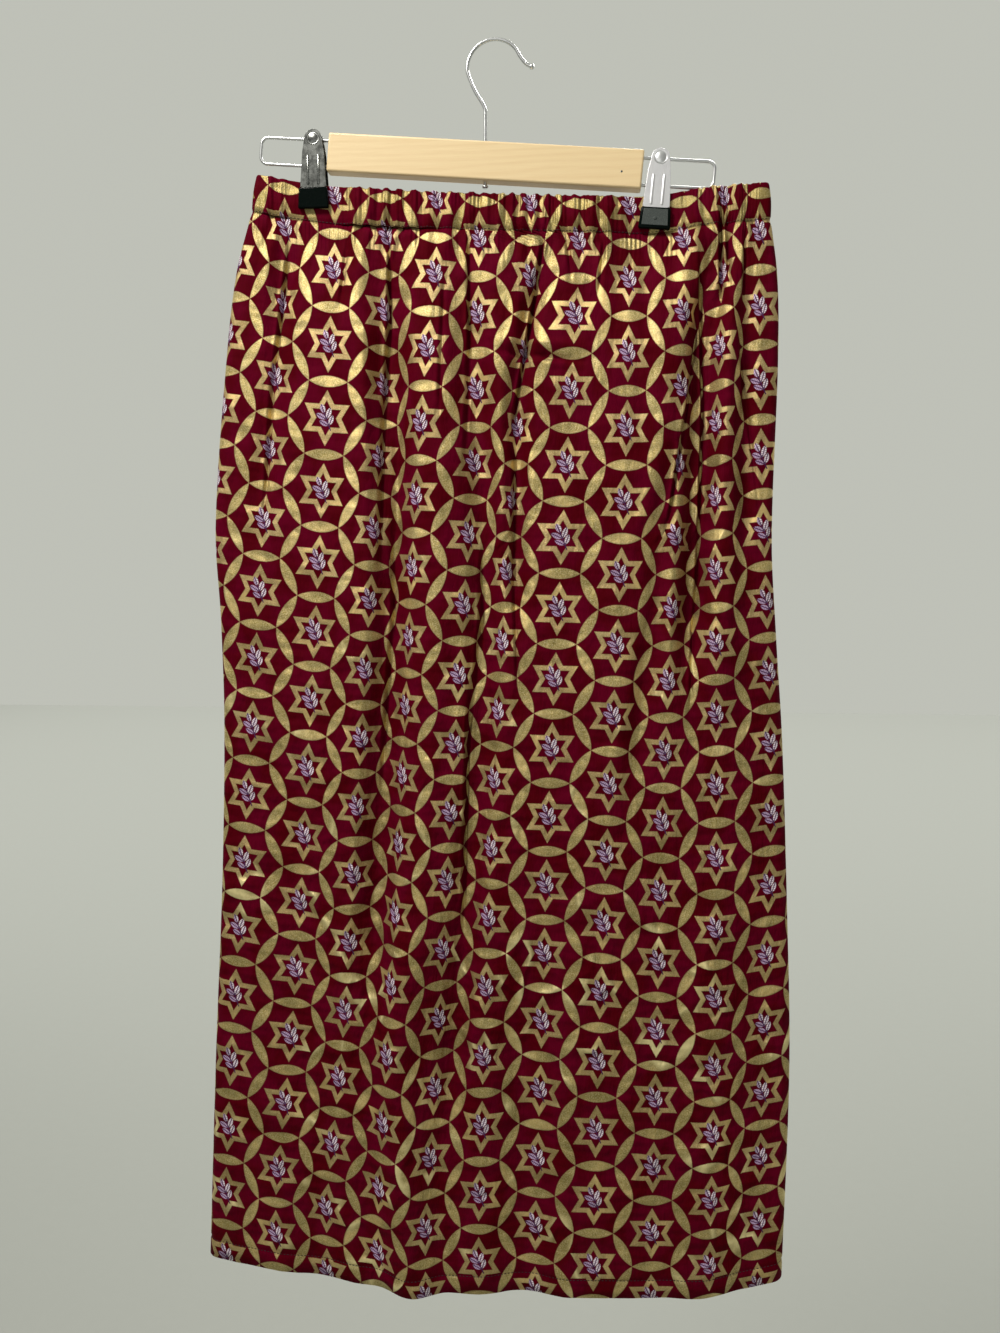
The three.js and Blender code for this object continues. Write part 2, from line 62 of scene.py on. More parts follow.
# The ripples that the elastic draws up, in metres of cloth: their pitch, and how it sways.
RIPPLE_PITCH = 0.0046
RIPPLE_SWAY = 55.0
RIPPLE_SWING = 2.2
# The cloth's crinkle: each wave's share, its turns across the cloth, their sway with its turns and
# shift, its turns down the cloth, and their bend with its turns.
CRINKLE_WAVES = (
    (1.0, 71.0, 2.1, 19.0, 0.0, 13.0, 1.7, 23.0),
    (0.6, 167.0, 1.9, 31.0, 1.0, 29.0, 2.0, 47.0),
    (0.35, 310.0, 2.4, 67.0, 0.0, 83.0, 1.3, 91.0),
)
CRINKLE_TOTAL = 1.95
log = logging.getLogger("maxi_skirt")


class Half(Enum):
    """The two halves of the hanging tube, each with the sign of its outward Y."""

    FRONT = -1
    BACK = 1


class Slot(Enum):
    """The record's material slots."""

    COTTON = "printed_cotton"
    WOOD = "pale_wood"
    STEEL = "bright_steel"
    VINYL = "black_vinyl"


def smooth_step(value: Array, low: float, high: float) -> Array:
    """Rise smoothly from 0 at low to 1 at high.

    Args:
        value: Where to read the rise.
        low: Where it starts.
        high: Where it ends.

    Returns:
        The rise at each value.
    """
    t = np.clip((value - low) / (high - low), 0.0, 1.0)
    return t * t * (3.0 - 2.0 * t)


def table_curve(keys: Sequence[float], values: Sequence[float], at: Array) -> Array:
    """Read a smooth curve through a table's column.

    Args:
        keys: The column that the table is sorted by.
        values: The column to read.
        at: Where to read it, in the keys' units.

    Returns:
        The curve's value at each place.
    """
    x = np.asarray(keys, float)
    y = np.asarray(values, float)
    slopes = np.empty_like(y)
    slopes[1:-1] = (y[2:] - y[:-2]) / (x[2:] - x[:-2])
    slopes[0] = (y[1] - y[0]) / (x[1] - x[0])
    slopes[-1] = (y[-1] - y[-2]) / (x[-1] - x[-2])
    at = np.clip(at, x[0], x[-1])
    i = np.clip(np.searchsorted(x, at, side="right") - 1, 0, len(x) - 2)
    span = x[i + 1] - x[i]
    t = (at - x[i]) / span
    rise = y[i + 1] - y[i]
    first, last = slopes[i] * span, slopes[i + 1] * span
    bend = first + last - 2.0 * rise
    return y[i] + t * (first + t * (3.0 * rise - 2.0 * first - last + t * bend))


@dataclass(frozen=True)
class Station:
    """One height of the hanging tube, in millimetres: its side edges, side fold radius and bows."""

    below: float
    left: float
    right: float
    fold: float
    front: float
    back: float


@dataclass(frozen=True)
class EdgePoint:
    """Heights of the casing's top edge and of the hem at one place across the skirt."""

    across: float
    top: float
    hem: float


@dataclass(frozen=True)
class Fold:
    """A fold that runs down the cloth, in millimetres: its route, half width, height and fades."""

    top_below: float
    top_x: float
    mid_below: float
    mid_x: float
    foot_below: float
    foot_x: float
    half: float
    out: float
    fade: float


@dataclass(frozen=True)
class Crease:
    """A short crease between two places (x and mm below the casing's top edge)."""

    x0: float
    below0: float
    x1: float
    below1: float
    half: float
    out: float


@dataclass(frozen=True)
class PrintRow:
    """Where the print's star columns pass at one height, in millimetres from the hook's crown."""

    below: float
    columns: tuple[float, ...]


@dataclass(frozen=True)
class GrainRow:
    """How far the cloth's grain sags at one height, in millimetres: at its left, middle and right."""

    below: float
    left: float
    middle: float
    right: float


@dataclass(frozen=True)
class HangerLayout:
    """The hanger's sizes in millimetres, as it hangs."""

    bar_length: float = 261.0
    bar_height: float = 31.0
    bar_depth: float = 12.0
    bar_x: float = -8.8
    bar_z: float = -95.7
    tilt: float = 4.95
    rail_radius: float = 1.4
    rail_spacing: float = 21.4
    rail_reach: float = 58.0
    rail_inside: float = 18.0
    rail_corner: float = 6.0
    clip_offset: float = 144.0
    clip_drop: float = 57.0
    tip_height: float = 17.0

    def bar_frame(self) -> Matrix:
        """Give the tilted frame at the bar's middle, in metres."""
        place = Matrix.Translation(Vector((self.bar_x, 0.0, self.bar_z)) * MM)
        return place @ Matrix.Rotation(math.radians(self.tilt), 4, "Y")

    def clip_frame(self, side: int, lean: float) -> Matrix:
        """Give a clip's frame, whose origin is on the upper rail.

        Args:
            side: -1 for the left clip, 1 for the right.
            lean: How far the clip leans, in degrees.

        Returns:
            The clip's frame, in metres.
        """
        on_rail = Vector((side * self.clip_offset, 0.0, self.rail_spacing / 2)) * MM
        return Matrix.Translation(self.bar_frame() @ on_rail) @ Matrix.Rotation(math.radians(lean), 4, "Y")


LAYOUT = HangerLayout()
CLIP_LEAN = {-1: 0.0, 1: 4.95}


@dataclass(frozen=True)
class HangingTube:
    """The form in which the skirt hangs, worked out from short tables in millimetres."""

    length: float = 945.0
    casing_height: float = 30.0
    hem_turn: float = 16.0
    hem_drop_behind: float = 9.0
    gathers: int = 34
    gather_middle: float = 1.6
    gather_ends: float = 2.3
    gather_run: float = 110.0
    gather_drift: float = 0.55
    gather_join: float = 34.0
    front_phase: float = 0.15
    back_phase: float = 0.6
    pleats: int = 44
    pleat_width: tuple[float, float] = (2.0, 3.6)
    pleat_run: tuple[float, float] = (16.0, 72.0)
    pleat_depth: tuple[float, float] = (0.5, 1.5)
    pleat_lean: float = 0.012
    waist_width: float = 440.0
    free_from_edge: float = 4.0
    crease_tail: float = 0.15
    crease_swell: float = 0.35
    groove_reach: float = 0.55
    crease_lip: float = 0.35
    crease_room: float = 4.6
    back_clearance: float = 1.6
    sharp_half: float = 3.0
    crowd: float = 4.0
    grip_half: float = 2.6
    grip_flat: float = 14.0
    grip_blend: float = 26.0
    grip_below: float = 90.0
    column_pitch: float = 52.0
    cloth_width: float = 580.0
    back_print_start: float = 604.0
    stations: tuple[Station, ...] = (
        Station(0, -201, 223, 4.6, 2.5, 2),
        Station(30, -206, 225, 5, 5, 3),
        Station(75, -219, 231, 5.5, 9, 4),
        Station(140, -229, 233, 6, 14, 4.5),
        Station(290, -243, 231, 6.5, 18, 5),
        Station(370, -240, 236, 7, 19, 5),
        Station(460, -239, 243, 7.5, 19, 5),
        Station(600, -244, 250, 8, 18, 5),
        Station(750, -253, 255.5, 8.5, 18, 5),
        Station(945, -263, 253, 9, 17, 5),
    )
    edges: tuple[EdgePoint, ...] = (
        EdgePoint(0, -100, -1054),
        EdgePoint(0.15, -111, -1060),
        EdgePoint(0.3, -117.5, -1063),
        EdgePoint(0.45, -122, -1064),
        EdgePoint(0.75, -127.3, -1062),
        EdgePoint(0.88, -122.5, -1058),
        EdgePoint(1, -119.5, -1047),
    )
    front_folds: tuple[Fold, ...] = (
        Fold(10, -166, 130, -181, 300, -200, 17, -5, 70),
        Fold(10, -88, 300, -85, 740, -108, 24, -17, 150),
        Fold(10, -54, 300, -46, 640, -62, 22, 4, 160),
        Fold(20, -22, 330, -6, 860, -38, 21, -12, 150),
        Fold(30, 42, 170, 20, 370, 20, 13, -10, 60),
        Fold(20, 112, 300, 108, 640, 96, 40, 3, 180),
        Fold(30, 150, 200, 142, 480, 140, 28, 5, 100),
        Fold(20, 186, 140, 172, 420, 164, 19, -18, 80),
        Fold(30, 196, 160, 190, 480, 190, 26, 8, 100),
        Fold(170, 155, 290, 138, 520, 118, 17, -8, 80),
        Fold(40, 205, 120, 206, 330, 208, 13, -8, 60),
        Fold(480, -60, 760, -82, 1120, -62, 34, 15, 240),
        Fold(520, 40, 760, 30, 1120, 24, 42, -10, 240),
        Fold(420, 200, 700, 188, 1120, 176, 38, 5, 200),
        Fold(420, -190, 640, -170, 1120, -150, 40, -5, 200),
    )
    back_folds: tuple[Fold, ...] = (
        Fold(20, -120, 400, -128, 1120, -140, 36, 3.5, 160),
        Fold(20, -20, 400, -14, 1120, -20, 44, 3, 160),
        Fold(20, 90, 400, 98, 1120, 110, 38, 3.5, 160),
    )
    front_creases: tuple[Crease, ...] = (
        Crease(4, 129, 76, 136, 4.5, -3.8),
        Crease(0, 119, 84, 125, 7, 2.4),
        Crease(43.5, 20, 27, 125, 2.2, -5.6),
        Crease(32, 95, 14, 200, 2.2, -6),
        Crease(18, 180, 17, 325, 2.4, -4.4),
        Crease(18, 310, 22, 420, 2.8, -2.4),
        Crease(-21, 26, -20, 130, 2.2, -4.8),
        Crease(-20, 110, -23, 220, 2.8, -2.6),
        Crease(-87, 36, -88, 128, 2.4, -5),
        Crease(-88, 98, -94, 205, 2.6, -4),
        Crease(-93, 180, -97, 320, 2.6, -3.8),
        Crease(-81, 180, -84, 310, 5, -3.2),
        Crease(-86, 280, -86, 380, 2.8, -4),
        Crease(-86, 340, -98, 500, 2.8, -3.6),
        Crease(-77, 428, -75, 470, 5, -2.2),
        Crease(-172, 40, -187, 160, 2.4, -4),
        Crease(-186, 140, -198, 280, 2.8, -2.8),
        Crease(168, 52, 173, 200, 2.2, -6),
        Crease(173, 150, 170, 335, 2.4, -5.4),
        Crease(170, 310, 164, 430, 2.8, -3),
        Crease(166, 112, 157, 192, 2.2, -4.6),
        Crease(160, 168, 143, 280, 2.2, -5.2),
        Crease(184, 18, 186, 96, 2.2, -5.8),
        Crease(190, 30, 192, 84, 2.4, -3.4),
        Crease(204, 38, 203, 96, 2.4, -3.4),
        Crease(200, 115, 206, 184, 2.4, -3.4),
        Crease(206, 166, 223, 295, 2.4, -3.6),
        Crease(91, 28, 86, 84, 2.8, -2.8),
        Crease(228, 300, 210, 340, 8, -1.5),
        Crease(-150, 30, -152, 70, 5, -1.5),
        Crease(-60, 30, -58, 75, 5, -1.6),
        Crease(80, 30, 78, 90, 5, -1.6),
        Crease(112, 30, 110, 80, 5, -1.4),
        Crease(-45, 451, -11, 416, 9, 1.9),
        Crease(-52, 470, -16, 470, 8, -1.5),
        Crease(-226, 380, -190, 420, 12, -1.5),
        Crease(-232, 560, -196, 596, 11, -1.4),
        Crease(-192, 548, -160, 610, 11, 1.6),
        Crease(60, 446, 112, 452, 8, -1.3),
        Crease(-9, 280, -10, 400, 2.8, -2.8),
        Crease(-8, 330, -22, 470, 2.8, -3.6),
        Crease(-19, 390, -23, 520, 2.4, -5),
        Crease(-22, 480, -26, 620, 2.8, -3.6),
        Crease(118, 560, 96, 640, 12, 1.6),
        Crease(206, 640, 168, 690, 12, -1.5),
        Crease(150, 790, 120, 850, 13, 1.7),
        Crease(-204, 800, -150, 872, 12, 2),
        Crease(-168, 842, -120, 880, 11, -1.5),
        Crease(240, 820, 206, 846, 11, -1.6),
        Crease(52, 700, 20, 770, 13, 1.5),
        Crease(60, 30, 64, 74, 2.8, -2.2),
        Crease(-122, 30, -128, 96, 2.8, -2.4),
        Crease(128, 30, 131, 66, 2.8, -2),
        Crease(-40, 60, -44, 190, 2.8, -2),
    )
    back_creases: tuple[Crease, ...] = (
        Crease(-150, 42, -156, 170, 2.6, -3.2),
        Crease(-158, 150, -166, 330, 2.8, -2.4),
        Crease(-110, 34, -104, 120, 2.4, -2.8),
        Crease(-66, 48, -58, 210, 2.4, -3.4),
        Crease(-56, 190, -50, 400, 2.8, -2.6),
        Crease(-34, 34, -37, 96, 2.6, -2.4),
        Crease(6, 60, 2, 180, 2.8, -2.8),
        Crease(48, 36, 54, 150, 2.4, -3.4),
        Crease(56, 130, 62, 300, 2.8, -2.8),
        Crease(64, 280, 60, 470, 4.5, -2.6),
        Crease(98, 40, 101, 128, 2.6, -2.6),
        Crease(142, 36, 134, 190, 2.4, -3.6),
        Crease(132, 170, 120, 360, 2.8, -3),
        Crease(176, 44, 182, 150, 2.6, -3),
        Crease(184, 130, 196, 300, 2.8, -2.4),
        Crease(-196, 60, -206, 200, 2.6, -2.8),
        Crease(-120, 420, -134, 620, 6, -2.4),
        Crease(20, 440, 10, 640, 6, -2.6),
        Crease(112, 500, 96, 700, 7, -2),
        Crease(-190, 640, -150, 690, 11, 1.6),
        Crease(-60, 560, -20, 590, 10, -1.5),
        Crease(40, 760, 76, 820, 12, 1.7),
        Crease(-110, 800, -70, 850, 12, -1.5),
        Crease(150, 830, 196, 800, 12, 1.6),
        Crease(180, 420, 214, 390, 10, -1.5),
    )
    print_rows: tuple[PrintRow, ...] = (
        PrintRow(65, (-176, -134, -89, -47, -12, 31, 70, 111, 155, 187, 215)),
        PrintRow(220, (-192, -142, -96, -62, -16, 18, 61, 109, 153, 182, 220)),
        PrintRow(495, (-214, -161, -115, -78, -34, 1, 48, 98, 143, 187, 233)),
        PrintRow(715, (-233, -179, -131, -89, -47, -7, 42, 91, 140, 189, 231)),
        PrintRow(878, (-244, -196, -150, -101, -58, -12, 37, 88, 138, 188, 230)),
    )
    grain_rows: tuple[GrainRow, ...] = (
        GrainRow(0, 0.5, 0.5, 2.0),
        GrainRow(35, 0.8, 0.8, 2.5),
        GrainRow(165, 2.5, 3.4, 3.8),
        GrainRow(290, 2.5, 3.4, 6.3),
        GrainRow(425, 1.2, 0.8, 6.0),
        GrainRow(560, 0.0, -1.7, 8.0),
        GrainRow(700, 0.8, 0.8, 10.0),
        GrainRow(850, 3.8, 6.7, 9.0),
        GrainRow(945, 5.0, 9.0, 9.0),
    )

    def sag(self, across: Array, below: Array) -> Array:
        """Give how far the front's grain sags.

        Args:
            across: Places from left (0) to right (1).
            below: Distances below the casing's top edge, as a column.

        Returns:
            The sag in millimetres.
        """
        keys = [row.below for row in self.grain_rows]
        left, middle, right = (
            table_curve(keys, [getattr(row, name) for row in self.grain_rows], below)
            for name in ("left", "middle", "right")
        )
        from_left = smooth_step(across, 0.1, 0.55)
        from_middle = smooth_step(across, 0.62, 0.92)
        return left + (middle - left) * from_left + (right - middle) * from_middle

    def station(self, column: str, below: Array) -> Array:
        """Read one column of the stations.

        Args:
            column: The column's name.
            below: Distances below the top edge.

        Returns:
            The column's value at each distance.
        """
        keys = [row.below for row in self.stations]
        return table_curve(keys, [getattr(row, column) for row in self.stations], below)

    def height(self, half: Half, across: Array, below: Array) -> Array:
        """Give the height of places on the cloth.

        Args:
            half: The half of the tube.
            across: Places from left (0) to right (1).
            below: Distances below the top edge.

        Returns:
            Heights in millimetres.
        """
        keys = [e.across for e in self.edges]
        top = table_curve(keys, [e.top for e in self.edges], across)
        hem = table_curve(keys, [e.hem for e in self.edges], across)
        if half is Half.BACK:
            hem = hem - self.hem_drop_behind * np.sin(np.pi * across)
        return top + (hem - top) * below / self.length

    def fold_rise(self, half: Half, x: Array, below: Array) -> Array:
        """Sum the folds of one half.

        Args:
            half: The half of the tube.
            x: Places across, in millimetres.
            below: Distances below the top edge.

        Returns:
            How far the folds stand out.
        """
        total = np.zeros(np.broadcast(x, below).shape)
        for row in self.front_folds if half is Half.FRONT else self.back_folds:
            upper = row.top_x + (row.mid_x - row.top_x) * smooth_step(below, row.top_below, row.mid_below)
            lower = row.mid_x + (row.foot_x - row.mid_x) * smooth_step(below, row.mid_below, row.foot_below)
            centre = np.where(below < row.mid_below, upper, lower)
            q = np.clip(np.abs(x - centre) / row.half, 0.0, 1.0)
            starts = smooth_step(below, row.top_below, row.top_below + row.fade)
            ends = 1.0 - smooth_step(below, row.foot_below - row.fade, row.foot_below)
            total += row.out * starts * ends * np.cos(q * np.pi / 2.0) ** 2
        return total

    def crease_place(self, row: Crease, x: Array, below: Array) -> tuple[Array, Array]:
        """Place points against one crease.

        Args:
            row: The crease.
            x: Places across, in millimetres.
            below: Distances below the top edge.

        Returns:
            How far each point lies to the crease's side, and the crease's strength there from 0 to 1.
        """
        run_x, run_b = row.x1 - row.x0, row.below1 - row.below0
        length = math.hypot(run_x, run_b)
        along = ((x - row.x0) * run_x + (below - row.below0) * run_b) / length
        aside = ((x - row.x0) * run_b - (below - row.below0) * run_x) / length
        tail, swell = self.crease_tail, self.crease_swell
        taper = smooth_step(along, -tail * length, swell * length)
        return aside, taper * (1.0 - smooth_step(along, (1.0 - swell) * length, (1.0 + tail) * length))

    def creases(self, half: Half) -> tuple[Crease, ...]:
        """Give one half's short creases."""
        return self.front_creases if half is Half.FRONT else self.back_creases

    def crease_rise(self, half: Half, x: Array, below: Array) -> Array:
        """Sum one half's short creases, each a soft trough or ridge with tapering ends.

        Args:
            half: The half of the tube.
            x: Places across, in millimetres.
            below: Distances below the top edge.

        Returns:
            How far the creases stand out.
        """
        total = np.zeros(np.broadcast(x, below).shape)
        for row in self.creases(half):
            aside, taper = self.crease_place(row, x, below)
            reach = self.groove_reach * row.half
            groove = np.exp(-((aside / reach) ** 2))
            lip = self.crease_lip * np.exp(-(((aside + 2.0 * reach) / (1.2 * reach)) ** 2))
            total += row.out * taper * (groove - lip)
        return total

    def crowding(self, half: Half, x: Array, below: Array) -> Array:
        """Give how closely the columns stand, above 1 beside the sharp creases.

        Args:
            half: The half of the tube.
            x: Places across, in millimetres.
            below: Distances below the top edge.

        Returns:
            The density of the columns at each place.
        """
        density = np.ones(np.broadcast(x, below).shape)
        for row in self.creases(half):
            if row.half < self.sharp_half:
                aside, taper = self.crease_place(row, x, below)
                density += self.crowd * taper * np.exp(-((aside / (1.5 * row.half)) ** 2))
        return np.minimum(density, 1.0 + self.crowd)

    def gripped(self, x: Array, below: Array) -> Array:
        """Give 1 where the clips press the cloth flat and 0 away from them.

        Args:
            x: Places across, in millimetres.
            below: Distances below the top edge.

        Returns:
            How far each place is held.
        """
        pressed = np.zeros(np.broadcast(x, below).shape)
        for side, lean in CLIP_LEAN.items():
            down = LAYOUT.clip_drop - LAYOUT.tip_height / 2
            grip_x = LAYOUT.clip_frame(side, lean).translation.x / MM - math.sin(math.radians(lean)) * down
            near = 1.0 - smooth_step(np.abs(x - grip_x), self.grip_flat, self.grip_flat + self.grip_blend)
            pressed = np.maximum(pressed, near)
        return pressed * (1.0 - smooth_step(below, self.casing_height, self.grip_below))

    def gather_rise(self, half: Half, across: Array, below: Array) -> Array:
        """Give the waist's gathers, which join in pairs below the casing and fade.

        Args:
            half: The half of the tube.
            across: Places from left (0) to right (1).
            below: Distances below the top edge.

        Returns:
            How far the gathers stand out.
        """
        phase = self.front_phase if half is Half.FRONT else self.back_phase
        drift = self.gather_drift * (np.sin(across * 9.1 + phase * 6) + 0.6 * np.sin(across * 23.7))
        fine = np.cos(2 * np.pi * (self.gathers * across + phase + drift))
        pairs = np.cos(2 * np.pi * (self.gathers / 2 * across + phase + drift))
        uneven = 0.8 + 0.35 * np.sin(across * 61.0 + 1.3) * np.sin(across * 17.0)
        depth = self.gather_middle + (self.gather_ends - self.gather_middle) * (2 * across - 1) ** 2
        join = smooth_step(below, self.casing_height, self.casing_height + self.gather_join)
        fade = 1.0 - smooth_step(below, self.casing_height, self.casing_height + self.gather_run)
        wave = fine * (1.0 - 0.75 * join) * uneven + pairs * join * 0.8
        return depth * wave * fade + self.pleat_rise(half, across, below)

    def pleat_rise(self, half: Half, across: Array, below: Array) -> Array:
        """Give the small uneven pleats that run down from the casing's stitches.

        Args:
            half: The half of the tube.
            across: Places from left (0) to right (1).
            below: Distances below the top edge.

        Returns:
            How far the pleats stand out.
        """
        chance = np.random.default_rng(11 if half is Half.FRONT else 12)
        total = np.zeros(np.broadcast(across, below).shape)
        for i in range(self.pleats):
            middle = (i + chance.uniform(0.1, 0.9)) / self.pleats
            width = chance.uniform(*self.pleat_width) / self.waist_width
            run = chance.uniform(*self.pleat_run)
            deep = chance.uniform(*self.pleat_depth)
            lean = chance.uniform(-self.pleat_lean, self.pleat_lean)
            centre = middle + lean * (below - self.casing_height) / run
            starts = smooth_step(below, self.casing_height - 7.0, self.casing_height + 1.0)
            ends = 1.0 - smooth_step(below, self.casing_height + 0.3 * run, self.casing_height + run)
            total -= deep * starts * ends * np.exp(-(((across - centre) / width) ** 2))
        return total

    def depth(self, half: Half, x: Array, below: Array, least: float) -> Array:
        """Give how far the cloth's outer face stands from the tube's middle plane.

        Args:
            half: The half of the tube.
            x: Places across, in millimetres.
            below: Distances below the top edge.
            least: The least that it may be.

        Returns:
            Depths in millimetres.
        """
        left, right = self.station("left", below), self.station("right", below)
        fold = self.station("fold", below)
        bow = self.station("front" if half is Half.FRONT else "back", below)
        across = np.clip((x - left) / (right - left), 0.0, 1.0)
        inside = np.minimum(x - left, right - x)
        clear = smooth_step(inside / np.maximum(fold, 1e-6), 1.0, 1.0 + self.free_from_edge)
        run = self.fold_rise(half, x, below) + self.gather_rise(half, across, below)
        free = fold + bow * (1.0 - (2.0 * across - 1.0) ** 2) + clear * run
        held = self.gripped(x, below)
        shape = np.maximum(free * (1.0 - held) + self.grip_half * held, least)
        loose = clear * (1.0 - held)
        creased = shape + loose * self.crease_rise(half, x, below)
        if half is Half.BACK:
            return np.maximum(creased, np.minimum(shape, self.crease_room + self.back_clearance))
        return np.maximum(creased, least - loose * self.crease_room)


TUBE = HangingTube()


@dataclass(frozen=True)
class ClothSheet:
    """A grid of places on one half of the tube, from its left side fold to its right one."""

    half: Half
    middle_steps: int
    fold_steps: int = 7
    seam_gap: float = 0.1
    pressed_wall: float = 2.4
    fine_steps: int = 1200

    def columns(self, below: Array, inset: Array) -> tuple[Array, Array, Array]:
        """Place the grid's columns at each level.

        Args:
            below: The levels, as a column of distances below the casing's top edge.
            inset: How far inside the outer face each level lies, as a column.

        Returns:
            x, the share of the side fold's roundness in the depth, and x as it counts for the depth.
        """
        left, right = TUBE.station("left", below), TUBE.station("right", below)
        fold = TUBE.station("fold", below)
        start = self.seam_gap / 2.0 / float(np.mean(fold))
        angles = np.linspace(start, math.pi / 2, self.fold_steps, endpoint=False)
        share = np.linspace(0.0, 1.0, self.middle_steps + 1)
        middle = self.crowded(left + fold + (right - left - 2 * fold) * share, below)
        left_turn = left + fold - (fold - inset) * np.cos(angles)
        right_turn = right - fold + (fold - inset) * np.cos(angles[::-1])
        x = np.hstack([left_turn, middle, right_turn])
        outer_left = left + fold - fold * np.cos(angles)
        outer_right = right - fold + fold * np.cos(angles[::-1])
        counted = np.hstack([outer_left, middle, outer_right])
        ones = np.ones_like(middle)
        sine = np.sin(angles)[None, :] * np.ones_like(below)
        return x, np.hstack([sine, ones, sine[:, ::-1]]), counted

    def crowded(self, even: Array, below: Array) -> Array:
        """Move evenly placed columns towards the sharp creases.

        Args:
            even: The columns' x at each level, evenly placed.
            below: The levels, as a column.

        Returns:
            The columns' x with the same ends.
        """
        fine = even[:, :1] + (even[:, -1:] - even[:, :1]) * np.linspace(0.0, 1.0, self.fine_steps)
        steps = TUBE.crowding(self.half, (fine[:, 1:] + fine[:, :-1]) / 2.0, below)
        total = np.hstack([np.zeros((len(fine), 1)), np.cumsum(steps, axis=1)])
        wanted = np.linspace(0.0, 1.0, even.shape[1])
        return np.stack([np.interp(wanted * total[i, -1], total[i], fine[i]) for i in range(len(fine))])

    def points(self, levels: Sequence[float], insets: Sequence[float], least: float) -> Array:
        """Give the grid's points.

        Args:
            levels: Distances below the top edge.
            insets: How far inside the outer face each level lies.
            least: The least depth of the outer face.

        Returns:
            Points in millimetres, levels by columns by three.
        """
        below = np.asarray(levels, float)[:, None]
        inset = np.asarray(insets, float)[:, None]
        x, turn, counted = self.columns(below, inset)
        inset = inset + TUBE.gripped(counted, below) * (np.clip(inset, 0.0, self.pressed_wall) - inset)
        depth = TUBE.depth(self.half, counted, below, least)
        left, right = TUBE.station("left", below), TUBE.station("right", below)
        across = np.clip((counted - left) / (right - left), 0.0, 1.0)
        y = self.half.value * (depth - inset) * turn
        z = TUBE.height(self.half, across, below)
        return np.stack(np.broadcast_arrays(x, y, z), axis=-1)

    def fabric(self, points: Array, levels: Sequence[float]) -> Array:
        """Give each point's place on the flat cloth, which carries the print.

        Between two star columns the print follows the cloth's own length, so it narrows in the folds.

        Args:
            points: The outer face's points.
            levels: Distances below the top edge.

        Returns:
            Places on the cloth in metres: along it, down it, and 0.
        """
        below = np.asarray(levels, float)
        steps = np.linalg.norm(np.diff(points[:, :, :2], axis=1), axis=2)
        arc = np.hstack([np.zeros((len(below), 1)), np.cumsum(steps, axis=1)])
        if self.half is Half.FRONT:
            along = self.front_fabric(points, arc, below)
        else:
            along = TUBE.back_print_start + TUBE.cloth_width * (1.0 - arc / arc[:, -1:])
        down = np.broadcast_to(below[:, None], along.shape)
        if self.half is Half.FRONT:
            down = down - TUBE.sag(arc / arc[:, -1:], below[:, None])
        return np.stack([along, down, np.zeros_like(along)], axis=-1) * MM

    def front_fabric(self, points: Array, arc: Array, below: Array) -> Array:
        """Give the front's places along the cloth from where its star columns pass.

        Args:
            points: The outer face's points.
            arc: Each point's distance along its level.
            below: The levels.

        Returns:
            Distances along the cloth in millimetres, with the first star column at one pitch.
        """
        keys = [row.below for row in TUBE.print_rows]
        count = len(TUBE.print_rows[0].columns)
        passes = [[row.columns[i] for row in TUBE.print_rows] for i in range(count)]
        columns = np.stack([table_curve(keys, column, below) for column in passes], axis=1)
        along = np.empty_like(arc)
        pitch = TUBE.column_pitch
        for level in range(len(below)):
            x = np.maximum.accumulate(points[level, :, 0] + np.arange(arc.shape[1]) * 1e-6)
            known = np.interp(columns[level], x, arc[level])
            stretch = pitch / np.diff(known).mean()
            places = pitch * np.arange(1, count + 1)
            first = places[0] - known[0] * stretch
            last = places[-1] + (arc[level, -1] - known[-1]) * stretch
            passed = np.concatenate([[0.0], known, [arc[level, -1]]])
            along[level] = np.interp(arc[level], passed, np.concatenate([[first], places, [last]]))
        return along


def new_object(name: str, mesh: bpy.types.Mesh, material: Material) -> Piece:
    """Put a mesh in the scene with its finish.

    Args:
        name: The piece's name.
        mesh: Its mesh, in metres in the row frame.
        material: Its finish.

    Returns:
        The new object.
    """
    piece = bpy.data.objects.new(name, mesh)
    bpy.context.scene.collection.objects.link(piece)
    mesh.materials.append(material)
    return piece


